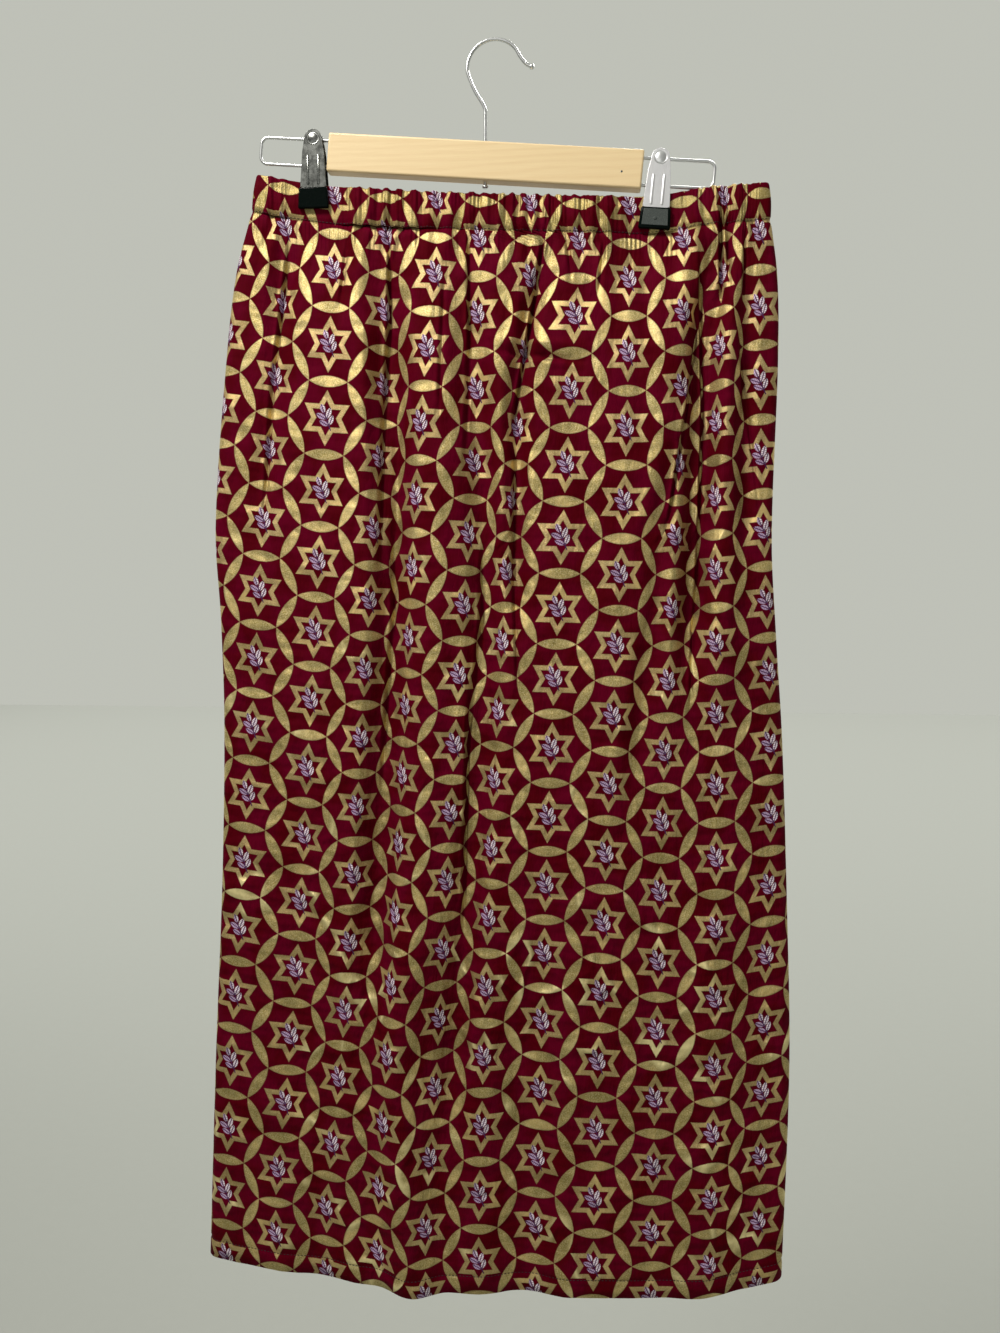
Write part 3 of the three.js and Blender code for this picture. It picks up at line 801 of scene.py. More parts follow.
def wall_mesh(
    name: str, outer: Array, inner: Array, cloth: Array, gathered: Array
) -> bpy.types.Mesh:
    """Make the closed wall between an outer and an inner grid.

    Args:
        name: The mesh's name.
        outer: The outer face's points in millimetres, levels by columns by three.
        inner: The inner face's points.
        cloth: Each outer point's place on the flat cloth, in metres.
        gathered: How far each outer point is drawn up by the waist's stitches, from 0 to 1.

    Returns:
        The mesh, with its places on the cloth, its gathers and its reverse side as attributes.
    """
    rows, columns = outer.shape[:2]
    grid = np.arange(rows * columns).reshape(rows, columns)
    back = grid + rows * columns
    quads = []

    def strip(a: Array, b: Array, c: Array, d: Array) -> None:
        """Add the quads of four matching arrays of corners."""
        quads.append(np.stack([a.ravel(), b.ravel(), c.ravel(), d.ravel()], axis=1))

    strip(grid[:-1, :-1], grid[1:, :-1], grid[1:, 1:], grid[:-1, 1:])
    strip(back[:-1, :-1], back[:-1, 1:], back[1:, 1:], back[1:, :-1])
    strip(grid[0, :-1], grid[0, 1:], back[0, 1:], back[0, :-1])
    strip(grid[-1, 1:], grid[-1, :-1], back[-1, :-1], back[-1, 1:])
    strip(grid[1:, 0], grid[:-1, 0], back[:-1, 0], back[1:, 0])
    strip(grid[:-1, -1], grid[1:, -1], back[1:, -1], back[:-1, -1])
    faces = np.concatenate(quads)
    if outer[:, :, 1].mean() > inner[:, :, 1].mean():
        faces = faces[:, ::-1]
    points = np.concatenate([outer.reshape(-1, 3), inner.reshape(-1, 3)]) * MM
    mesh = bpy.data.meshes.new(name)
    mesh.from_pydata(points.tolist(), [], faces.tolist())
    mesh.shade_smooth()
    places = mesh.attributes.new("cloth", "FLOAT_VECTOR", "POINT")
    places.data.foreach_set("vector", np.concatenate([cloth, cloth]).astype(np.float32).ravel())
    side = mesh.attributes.new("reverse", "FLOAT", "POINT")
    count = rows * columns
    side.data.foreach_set("value", np.repeat([0.0, 1.0], count).astype(np.float32))
    drawn = mesh.attributes.new("gathered", "FLOAT", "POINT")
    drawn.data.foreach_set("value", np.concatenate([gathered.ravel()] * 2).astype(np.float32))
    return mesh


def crinkle(places: Array, amount: float) -> Array:
    """Give small soft unevenness over the cloth from a few sine waves that bend one another.

    Args:
        places: Places on the flat cloth, in metres.
        amount: Its height in millimetres.

    Returns:
        The rise at each place, in millimetres.
    """
    s, v = places[..., 0], places[..., 1]
    rise = np.zeros(s.shape)
    for share, across, sway, sway_turns, shift, down, bend, bend_turns in CRINKLE_WAVES:
        wave = share * np.sin(s * across + sway * np.sin(v * sway_turns + shift))
        rise = rise + wave * np.sin(v * down + bend * np.sin(s * bend_turns))
    return amount * rise / CRINKLE_TOTAL


def ripple(places: Array) -> Array:
    """Give the fine ripples that the elastic draws up, from -1 to 1.

    Args:
        places: Places on the flat cloth, in metres.

    Returns:
        The ripples' height at each place.
    """
    s = places[..., 0]
    wave = np.sin(2 * np.pi * s / RIPPLE_PITCH + RIPPLE_SWING * np.sin(s * RIPPLE_SWAY + 1.0))
    return wave * (0.45 + 0.275 * (1.0 + np.sin(s * 210 + 2.0 * np.sin(s * 67))))


class Graph:
    """Short names for a material's shader nodes."""

    def __init__(self, name: str) -> None:
        """Start an empty material.

        Args:
            name: The material's name.
        """
        self.material = bpy.data.materials.new(name)
        self.material.use_nodes = True
        self.tree = self.material.node_tree
        self.tree.nodes.clear()

    def add(self, kind: str, **settings: object) -> bpy.types.Node:
        """Add a node.

        Args:
            kind: The node's type, without ShaderNode.
            settings: Its settings.

        Returns:
            The node.
        """
        node = self.tree.nodes.new("ShaderNode" + kind)
        for key, value in settings.items():
            setattr(node, key, value)
        return node

    def put(self, socket: Socket, value: object) -> None:
        """Link a socket to a node's output, or set its own value.

        Args:
            socket: The socket.
            value: The output, or the value.
        """
        if isinstance(value, Socket):
            self.tree.links.new(value, socket)
        else:
            socket.default_value = value

    def math(self, operation: str, *values: object) -> Socket:
        """Add a math node.

        Args:
            operation: What it works out.
            values: Its inputs.

        Returns:
            Its output.
        """
        node = self.add("Math", operation=operation)
        for socket, value in zip(node.inputs, values):
            self.put(socket, value)
        return node.outputs[0]

    def plus(self, first: object, second: object) -> Socket:
        """Add two values."""
        return self.math("ADD", first, second)

    def minus(self, first: object, second: object) -> Socket:
        """Take the second value from the first."""
        return self.math("SUBTRACT", first, second)

    def times(self, first: object, second: object) -> Socket:
        """Multiply two values."""
        return self.math("MULTIPLY", first, second)

    def mix(self, share: object, first: object, second: object) -> Socket:
        """Mix two colours.

        Args:
            share: How much of the second to take.
            first: The first colour.
            second: The second colour.

        Returns:
            The mixed colour.
        """
        node = self.add("Mix", data_type="RGBA")
        self.put(node.inputs["Factor"], share)
        self.put(node.inputs[6], first)
        self.put(node.inputs[7], second)
        return node.outputs[2]

    def between(self, share: object, first: object, second: object) -> Socket:
        """Mix two numbers.

        Args:
            share: How much of the second to take.
            first: The first number.
            second: The second number.

        Returns:
            The mixed number.
        """
        node = self.add("Mix", data_type="FLOAT")
        self.put(node.inputs[0], share)
        self.put(node.inputs[2], first)
        self.put(node.inputs[3], second)
        return node.outputs[0]

    def edge(self, distance: object, soft: float) -> Socket:
        """Rise from 0 to 1 where a distance passes 0.

        Args:
            distance: The distance.
            soft: Half the width of the rise.

        Returns:
            The rise.
        """
        node = self.add("MapRange", interpolation_type="SMOOTHSTEP")
        self.put(node.inputs["Value"], distance)
        node.inputs["From Min"].default_value = -soft
        node.inputs["From Max"].default_value = soft
        return node.outputs[0]

    def noise(self, vector: object, scale: float, detail: float = 2.0, rough: float = 0.5) -> Socket:
        """Add a noise texture.

        Args:
            vector: Where to read it.
            scale: How small its patches are.
            detail: How many finer layers it has.
            rough: How strong the finer layers are.

        Returns:
            Its value.
        """
        node = self.add("TexNoise")
        self.put(node.inputs["Vector"], vector)
        node.inputs["Scale"].default_value = scale
        node.inputs["Detail"].default_value = detail
        node.inputs["Roughness"].default_value = rough
        return node.outputs["Fac"]

    def stretched(self, vector: object, scale: tuple[float, float, float]) -> Socket:
        """Scale a vector.

        Args:
            vector: The vector.
            scale: The factor along each axis.

        Returns:
            The scaled vector.
        """
        node = self.add("VectorMath", operation="MULTIPLY")
        self.put(node.inputs[0], vector)
        node.inputs[1].default_value = scale
        return node.outputs[0]

    def bump(self, height: object, distance: float, strength: float = 1.0, normal: object = None) -> Socket:
        """Add a bump node.

        Args:
            height: The relief's height.
            distance: Its depth, in metres.
            strength: How strongly it shows.
            normal: The normal that it adds to, if any.

        Returns:
            The new normal.
        """
        node = self.add("Bump")
        self.put(node.inputs["Height"], height)
        node.inputs["Distance"].default_value = distance
        node.inputs["Strength"].default_value = strength
        if normal is not None:
            self.put(node.inputs["Normal"], normal)
        return node.outputs[0]

    def split(self, vector: object) -> tuple[Socket, Socket]:
        """Give a vector's first two values.

        Args:
            vector: The vector.

        Returns:
            Its x and its y.
        """
        node = self.add("SeparateXYZ")
        self.put(node.inputs[0], vector)
        return node.outputs[0], node.outputs[1]

    def surface(self, **sockets: object) -> Material:
        """End the material in a Principled shader.

        Args:
            sockets: The shader's sockets, with underscores for spaces.

        Returns:
            The finished material.
        """
        shader = self.add("BsdfPrincipled")
        for key, value in sockets.items():
            self.put(shader.inputs[key.replace("_", " ")], value)
        end = self.add("OutputMaterial")
        self.tree.links.new(shader.outputs[0], end.inputs[0])
        return self.material


@dataclass(frozen=True)
class PrintedCotton:
    """Plain-weave cotton with a gold print of overlapping circles and six-pointed stars."""

    repeat: float = 0.060
    column_share: float = 52.0 / 60.0
    first_row: float = 37.0 / 60.0
    circle: float = 0.5774
    star_tip: float = 0.383
    star_band: float = 0.070
    line: float = 0.007
    soft: float = 0.004
    sprig_turn: float = 24.0
    rib_pitch: float = 0.034
    thread: float = 0.00042
    # Where and how strongly the gold is darkened as painted shade, on the casing and on the lower cloth.
    casing_until: float = 0.032
    casing_shade: float = 0.34
    lower_from: float = 0.45
    lower_soft: float = 0.30
    lower_shade: float = 0.18
    ground: Colour = (0.098, 0.0002, 0.0048, 1)
    ground_rose: Colour = (0.140, 0.0004, 0.0165, 1)
    ground_deep: Colour = (0.050, 0.0002, 0.0020, 1)
    gold: Colour = (0.46, 0.345, 0.100, 1)
    gold_pale: Colour = (0.80, 0.64, 0.31, 1)
    gold_olive: Colour = (0.20, 0.16, 0.040, 1)
    gold_rim: Colour = (0.52, 0.37, 0.18, 1)
    star_gold: Colour = (0.49, 0.335, 0.145, 1)
    painted_glint: Colour = (1.0, 0.88, 0.58, 1)
    gold_sheen: Colour = (0.98, 0.72, 0.29, 1)
    crest_highlight: Colour = (1.0, 0.86, 0.44, 1)
    leaf: Colour = (0.58, 0.42, 0.62, 1)
    leaf_pale: Colour = (0.92, 0.80, 0.87, 1)
    vein: Colour = (0.075, 0.022, 0.090, 1)
    reverse_tint: Colour = (0.15, 0.025, 0.035, 1)

    def lattice(self, g: Graph, x: object, y: object) -> tuple[Socket, Socket]:
        """Find each point's place from its nearest star centre.

        Args:
            g: The material's graph.
            x: Distance along the cloth, in repeats.
            y: Distance down the cloth, in repeats.

        Returns:
            The place from the nearest centre, x and y.
        """
        pitch = self.column_share
        odd = (
            g.math("WRAP", g.minus(x, pitch), pitch, -pitch),
            g.math("WRAP", g.minus(y, self.first_row), 0.5, -0.5),
        )
        even = (
            g.math("WRAP", x, pitch, -pitch),
            g.math("WRAP", g.minus(y, self.first_row + 0.5), 0.5, -0.5),
        )
        nearer = g.math("LESS_THAN", self.length(g, *odd), self.length(g, *even))
        return g.between(nearer, even[0], odd[0]), g.between(nearer, even[1], odd[1])

    def length(self, g: Graph, x: object, y: object) -> Socket:
        """Give the length of a place."""
        return g.math("SQRT", g.plus(g.times(x, x), g.times(y, y)))

    def petal(self, g: Graph, x: object, y: object) -> Socket:
        """Give how far inside a neighbour's circle each point lies.

        Args:
            g: The material's graph.
            x: Place from the nearest centre, made positive.
            y: Place from the nearest centre, made positive.

        Returns:
            The distance, in repeats, above 0 inside a petal.
        """
        above = self.length(g, x, g.minus(y, 1.0))
        aside = self.length(g, g.minus(x, self.column_share), g.minus(y, 0.5))
        return g.minus(self.circle, g.math("MINIMUM", above, aside))

    def star(self, g: Graph, x: object, y: object) -> Socket:
        """Give how far inside the six-pointed star each point lies.

        Args:
            g: The material's graph.
            x: Place from the nearest centre, made positive.
            y: Signed place from the nearest centre.

        Returns:
            The distance, in repeats, above 0 inside the star.
        """
        slope = g.times(x, math.sqrt(3) / 2)
        half_y = g.times(y, 0.5)
        up = g.math("MAXIMUM", g.times(y, -1.0), g.plus(slope, half_y))
        down = g.math("MAXIMUM", y, g.minus(slope, half_y))
        return g.minus(self.star_tip / 2, g.math("MINIMUM", up, down))

    def leaf_shape(self, g: Graph, x: object, y: object, place: tuple[float, ...]) -> tuple[Socket, Socket]:
        """Give one leaf of the sprig.

        Args:
            g: The material's graph.
            x: Place across the sprig.
            y: Place along the sprig.
            place: The leaf's middle (x, y), its turn in degrees, its half length and its half width.

        Returns:
            How far inside the leaf each point lies, and the place across the leaf.
        """
        middle_x, middle_y, turn, half_length, half_width = place
        cosine, sine = math.cos(math.radians(turn)), math.sin(math.radians(turn))
        dx, dy = g.minus(x, middle_x), g.minus(y, middle_y)
        along = g.plus(g.times(dx, cosine), g.times(dy, sine))
        across = g.minus(g.times(dy, cosine), g.times(dx, sine))
        radius = (half_length**2 + half_width**2) / (2 * half_width)
        offset = g.plus(g.math("ABSOLUTE", across), radius - half_width)
        return g.minus(radius, self.length(g, along, offset)), across

    def sprig(self, g: Graph, x: object, y: object) -> tuple[Socket, ...]:
        """Draw a slanted leaf sprig inside each star.

        Args:
            g: The material's graph.
            x: Place from the nearest centre.
            y: Place from the nearest centre, down the cloth.

        Returns:
            How far inside the leaves, on their pale side, and inside the veins and the stem each point lies.
        """
        cosine, sine = math.cos(math.radians(self.sprig_turn)), math.sin(math.radians(self.sprig_turn))
        across = g.minus(g.times(x, cosine), g.times(y, sine))
        along = g.plus(g.times(x, sine), g.times(y, cosine))
        paired = g.math("ABSOLUTE", across)
        leaves = [
            (paired, (0.060, -0.050, -48.0, 0.080, 0.036)),
            (paired, (0.056, 0.052, -48.0, 0.072, 0.033)),
            (across, (0.0, -0.140, 90.0, 0.068, 0.036)),
        ]
        inside, vein = None, None
        for place_x, place in leaves:
            shape, off = self.leaf_shape(g, place_x, along, place)
            line = g.math("MINIMUM", g.minus(self.line, g.math("ABSOLUTE", off)), shape)
            inside = shape if inside is None else g.math("MAXIMUM", inside, shape)
            vein = line if vein is None else g.math("MAXIMUM", vein, line)
        slanted = g.plus(along, g.times(paired, -0.9))
        ribs = g.math("SINE", g.times(slanted, 2 * math.pi / self.rib_pitch))
        ribs = g.times(g.minus(ribs, 0.72), self.line)
        vein = g.math("MAXIMUM", vein, g.math("MINIMUM", ribs, inside))
        reach = g.minus(0.165, g.math("ABSOLUTE", g.minus(along, 0.02)))
        stem = g.math("MINIMUM", g.minus(self.line * 1.2, paired), reach)
        return inside, across, vein, stem

    def crest(self, g: Graph, cloth: object, lower: object) -> Socket:
        """Give the thin crests of soft crinkles, which carry a bump and a painted highlight on the gold.

        Args:
            g: The material's graph.
            cloth: Place on the flat cloth.
            lower: 1 on the lower cloth and 0 on the upper.

        Returns:
            How much of a crest each point is.
        """
        field = g.noise(g.stretched(cloth, (1.0, 0.75, 1.0)), 15.0, 2.0)
        line = g.edge(g.minus(0.022, g.math("ABSOLUTE", g.minus(field, 0.5))), 0.030)
        spread = g.noise(cloth, 19.0, 1.0)
        here = g.edge(g.minus(spread, 0.56), 0.08)
        amount = g.between(lower, 0.15, 1.0)
        return g.times(g.times(line, here), amount)

    def gold_looks(self, g: Graph, cloth: object, grain: object, petal: object, stars: object) -> Socket:
        """Give the gold's colour, grainy and worn, with painted glints, painted sheen and shade in patches
        of uneven foil, and rims, and a little redder in the stars.

        Args:
            g: The material's graph.
            cloth: Place on the flat cloth.
            grain: The gold's grain.
            petal: How far inside a petal each point lies.
            stars: 1 on the stars' bands.

        Returns:
            The colour.
        """
        patch = g.noise(cloth, 150.0, 3.0)
        gold = g.mix(g.edge(g.minus(grain, 0.53), 0.11), self.gold, self.gold_pale)
        worn = g.times(g.edge(g.minus(patch, 0.62), 0.12), 0.45)
        gold = g.mix(worn, gold, self.gold_olive)
        # Painted sheen and shade in broad patches, partly uneven foil: bright patches stand in for light
        # caught on the folds, olive ones for their shade.
        sweep = g.noise(g.stretched(cloth, (1.0, 0.6, 1.0)), 27.0, 3.0, 0.6)
        bright_foil_and_sheen = g.times(g.edge(g.minus(sweep, 0.59), 0.09), 0.55)
        dull_foil_and_shade = g.times(g.edge(g.minus(0.43, sweep), 0.09), 0.40)
        gold = g.mix(dull_foil_and_shade, g.mix(bright_foil_and_sheen, gold, self.gold_sheen), self.gold_olive)
        # Painted glints: bright specks in the colour standing in for light caught by the foil's flakes.
        flake = g.noise(cloth, 1250.0, 2.0, 0.8)
        painted_glints = g.times(g.edge(g.minus(flake, 0.60), 0.05), 0.85)
        gold = g.mix(painted_glints, gold, self.painted_glint)
        rim_mask = g.times(g.edge(g.minus(0.014, petal), 0.008), 0.6)
        gold = g.mix(rim_mask, gold, self.gold_rim)
        star_grain = g.edge(g.minus(grain, 0.56), 0.14)
        star_gold = g.mix(g.times(star_grain, 0.6), self.star_gold, self.gold_pale)
        star_gold = g.mix(g.times(painted_glints, 0.6), star_gold, self.painted_glint)
        star_gold = g.mix(bright_foil_and_sheen, star_gold, self.gold_sheen)
        star_gold = g.mix(g.times(dull_foil_and_shade, 0.8), star_gold, self.gold_olive)
        return g.mix(stars, gold, star_gold)

    def relief(
        self, g: Graph, cloth: object, slub: object, lower: object, crest: object, shine: object
    ) -> Socket:
        """Give the cloth's normal: its weave, the puckers below the casing, its wrinkles and its crests.

        Args:
            g: The material's graph.
            cloth: Place on the flat cloth.
            slub: How thick the threads are.
            lower: 1 on the lower cloth and 0 on the upper.
            crest: How much of a crest each point is.
            shine: Where the gold lies on the cloth.

        Returns:
            The normal.
        """
        along, down = g.split(cloth)
        turns = 2 * math.pi / self.thread
        warp = g.math("SINE", g.times(along, turns))
        weft = g.math("SINE", g.times(down, turns))
        weave = g.plus(g.times(warp, weft), g.times(slub, 1.2))
        wrinkle = g.noise(g.stretched(cloth, (1.0, 0.35, 1.0)), 85.0, 3.0, 0.6)
        wrinkle = g.times(wrinkle, g.between(lower, 1.0, 1.8))
        level = g.noise(g.stretched(cloth, (0.45, 1.0, 1.0)), 42.0, 2.0, 0.55)
        level = g.times(level, g.between(lower, 1.0, 2.2))
        gathered = g.add("Attribute", attribute_name="gathered").outputs["Fac"]
        sway = g.math("SINE", g.plus(g.times(along, RIPPLE_SWAY), 1.0))
        waves = g.times(along, 2 * math.pi / RIPPLE_PITCH)
        pucker = g.math("SINE", g.plus(waves, g.times(sway, RIPPLE_SWING)))
        uneven = g.noise(g.stretched(cloth, (1.0, 0.4, 1.0)), 45.0, 1.0)
        strong = g.edge(g.minus(uneven, 0.52), 0.12)
        pucker = g.times(g.times(pucker, gathered), strong)
        layers = (
            (weave, 0.00005, 0.5),
            (pucker, 0.0005, 0.75),
            (wrinkle, 0.0024, 0.75),
            (level, 0.0060, 0.60),
            (crest, 0.0022, 0.8),
            (shine, 0.00012, 0.6),
        )
        normal = None
        for height, distance, strength in layers:
            normal = g.bump(height, distance, strength, normal)
        return normal

    def build(self) -> Material:
        """Make the material.

        Returns:
            The finished material.
        """
        g = Graph("printed_cotton")
        cloth = g.add("Attribute", attribute_name="cloth").outputs["Vector"]
        reverse = g.add("Attribute", attribute_name="reverse").outputs["Fac"]
        along, down = g.split(cloth)
        x, y = g.math("DIVIDE", along, self.repeat), g.math("DIVIDE", down, self.repeat)
        qx, qy = self.lattice(g, x, y)
        ax, ay = g.math("ABSOLUTE", qx), g.math("ABSOLUTE", qy)
        fray = g.times(g.minus(g.noise(cloth, 900.0, 2.0), 0.5), 0.010)
        petal = g.plus(self.petal(g, ax, ay), fray)
        star = g.plus(self.star(g, ax, qy), fray)
        band = g.math("MINIMUM", star, g.minus(self.star_band, star))
        stars = g.edge(band, self.soft)
        gold_mask = g.math("MAXIMUM", g.edge(petal, self.soft), stars)
        rim = g.math("MAXIMUM", petal, band)
        rim_line = g.edge(g.minus(self.line, g.math("ABSOLUTE", rim)), self.soft)

        casing = g.edge(g.minus(self.casing_until, down), self.soft)
        lower = g.edge(g.minus(down, self.lower_from), self.lower_soft)
        # Painted shade: the gold is darkened towards olive on the casing and towards the bottom of the
        # cloth.
        casing_shade = g.times(casing, self.casing_shade)
        shade = g.math("MAXIMUM", casing_shade, g.times(lower, self.lower_shade))
        crest = self.crest(g, cloth, lower)
        blotch = g.noise(g.stretched(cloth, (1.0, 0.7, 1.0)), 38.0, 3.0)
        ground = g.mix(g.edge(g.minus(blotch, 0.5), 0.16), self.ground, self.ground_rose)
        slub = g.noise(g.stretched(cloth, (1.0, 0.06, 1.0)), 1500.0, 2.0)
        ground = g.mix(g.times(slub, 0.5), ground, self.ground_deep)
        grain = g.noise(cloth, 820.0, 3.0, 0.7)
        gold = g.mix(shade, self.gold_looks(g, cloth, grain, petal, stars), self.gold_olive)
        # Painted highlight: the gold on the crests is lightened as if it caught the light.
        gold = g.mix(crest, gold, self.crest_highlight)
        colour = g.mix(gold_mask, ground, gold)
        colour = g.mix(g.times(rim_line, 0.15), colour, self.ground_deep)

        leaf, off, vein, stem = self.sprig(g, qx, qy)
        leaf_colour = g.mix(g.edge(off, 0.03), self.leaf, self.leaf_pale)
        colour = g.mix(g.edge(leaf, self.soft), colour, leaf_colour)
        colour = g.mix(g.edge(g.math("MAXIMUM", vein, stem), 0.003), colour, self.vein)
        colour = g.mix(g.times(reverse, 0.72), colour, self.reverse_tint)
        shine = g.times(gold_mask, g.minus(1.0, reverse))
        return g.surface(
            Base_Color=colour,
            Metallic=g.times(shine, 0.68),
            Roughness=g.between(shine, 0.62, g.between(grain, 0.36, 0.54)),
            Normal=self.relief(g, cloth, slub, lower, crest, shine),
            Specular_IOR_Level=0.02,
        )


@dataclass(frozen=True)
class PaleWood:
    """Lacquered pine with fine grain along the board."""

    light: Colour = (0.945, 0.735, 0.425, 1)
    dark: Colour = (0.835, 0.60, 0.31, 1)

    def build(self) -> Material:
        """Make the material.

        Returns:
            The finished material.
        """
        g = Graph("pale_wood")
        place = g.add("TexCoord").outputs["Object"]
        long = g.stretched(place, (4.0, 60.0, 60.0))
        bands = g.add("TexWave", wave_type="BANDS", bands_direction="Z")
        g.put(bands.inputs["Vector"], g.stretched(place, (0.16, 1.0, 1.0)))
        bands.inputs["Scale"].default_value = 55.0
        bands.inputs["Distortion"].default_value = 7.0
        bands.inputs["Detail"].default_value = 2.0
        bands.inputs["Detail Scale"].default_value = 0.7
        fine = g.noise(long, 9.0, 4.0, 0.6)
        share = g.plus(g.times(bands.outputs["Fac"], 0.18), g.times(fine, 0.42))
        colour = g.mix(g.edge(g.minus(share, 0.42), 0.40), self.light, self.dark)
        return g.surface(
            Base_Color=colour,
            Roughness=g.between(fine, 0.34, 0.5),
            Normal=g.bump(fine, 0.0003, 0.35),
            Coat_Weight=0.25,
            Coat_Roughness=0.25,
        )


@dataclass(frozen=True)
class Steel:
    """Plated steel wire and sheet, with fine scratches and handling marks."""

    name: str
    colour: Colour
    rough: float
    mottle: float

    def build(self) -> Material:
        """Make the material.

        Returns:
            The finished material.
        """
        g = Graph(self.name)
        place = g.add("TexCoord").outputs["Object"]
        marks = g.noise(place, 170.0, 4.0, 0.65)
        scratch = g.noise(g.stretched(place, (1.0, 1.0, 0.08)), 2600.0, 2.0)
        shade = tuple(channel * (1.0 - self.mottle) for channel in self.colour[:3]) + (1.0,)
        colour = g.mix(g.edge(g.minus(marks, 0.5), 0.18), shade, self.colour)
        return g.surface(
            Base_Color=colour,
            Metallic=1.0,
            Roughness=g.between(scratch, self.rough * 0.85, self.rough * 1.2),
            Normal=g.bump(marks, 0.0004, 0.03),
        )


@dataclass(frozen=True)
class SoftPlastic:
    """Dipped vinyl, glossy with a faint unevenness."""

    name: str
    colour: Colour
    rough: float

    def build(self) -> Material:
        """Make the material.

        Returns:
            The finished material.
        """
        g = Graph(self.name)
        place = g.add("TexCoord").outputs["Object"]
        uneven = g.noise(place, 420.0, 3.0)
        dust = g.noise(place, 2400.0, 2.0)
        paler = tuple(channel * 1.8 + 0.001 for channel in self.colour[:3]) + (1.0,)
        return g.surface(
            Base_Color=g.mix(g.edge(g.minus(dust, 0.62), 0.1), self.colour, paler),
            Roughness=g.between(uneven, self.rough * 0.8, self.rough * 1.5),
            Specular_IOR_Level=0.06,
            Normal=g.bump(uneven, 0.0006, 0.3),
        )


@dataclass(frozen=True)
class SewingThread:
    """Twisted cotton thread."""

    colour: Colour = (0.010, 0.003, 0.004, 1)

    def build(self) -> Material:
        """Make the material.

        Returns:
            The finished material.
        """
        g = Graph("sewing_thread")
        place = g.add("TexCoord").outputs["Object"]
        twist = g.noise(place, 5200.0, 2.0)
        paler = tuple(channel * 2.4 for channel in self.colour[:3]) + (1.0,)
        return g.surface(
            Base_Color=g.mix(twist, self.colour, paler),
            Roughness=g.between(twist, 0.6, 0.8),
            Normal=g.bump(twist, 0.0002, 0.5),
        )


@dataclass(frozen=True)
class Finishes:
    """Every finish, made once."""

    cotton: Material
    wood: Material
    wire: Material
    clip_bright: Material
    clip_dark: Material
    dome_bright: Material
    dome_dark: Material
    vinyl: Material
    tip_plate: Material
    thread: Material

    @classmethod
    def make(cls) -> "Finishes":
        """Build the finishes.

        Returns:
            All of them.
        """
        return cls(
            cotton=PrintedCotton().build(),
            wood=PaleWood().build(),
            wire=Steel("bright_wire", (0.74, 0.75, 0.75, 1), 0.30, 0.05).build(),
            clip_bright=Steel("bright_plate", (0.95, 0.95, 0.96, 1), 0.42, 0.04).build(),
            # Painted shade: the left clip's plate and dome take darker copies of the steel, standing in for
            # its dark reflections; the board's pin shares the darker plate.
            clip_dark=Steel("shaded_plate", (0.30, 0.31, 0.29, 1), 0.24, 0.66).build(),
            dome_bright=Steel("bright_dome", (0.93, 0.94, 0.94, 1), 0.34, 0.08).build(),
            dome_dark=Steel("shaded_dome", (0.34, 0.35, 0.33, 1), 0.26, 0.60).build(),
            # The faint green tint in the black and smoky vinyl colours is painted reflection; the vinyl
            # itself is near black and smoky grey.
            vinyl=SoftPlastic("black_vinyl", (0.0012, 0.0034, 0.0026, 1), 0.2).build(),
            tip_plate=SoftPlastic("smoky_tip", (0.075, 0.085, 0.08, 1), 0.16).build(),
            thread=SewingThread().build(),
        )


def declare(piece: Piece, slot: Slot, *nodes: str) -> None:
    """Ride a piece on the one body, name its slot, and say which nodes it stands for.

    Args:
        piece: The piece.
        slot: The record's slot that it takes its finish from.
        nodes: The nodes that it replaces.
    """
    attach(piece, "root")
    if nodes:
        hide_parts(*nodes)
    faces = len(piece.data.polygons)
    log.info("%s: %d faces, slot %s, stands for %s", piece.name, faces, slot.value, list(nodes))


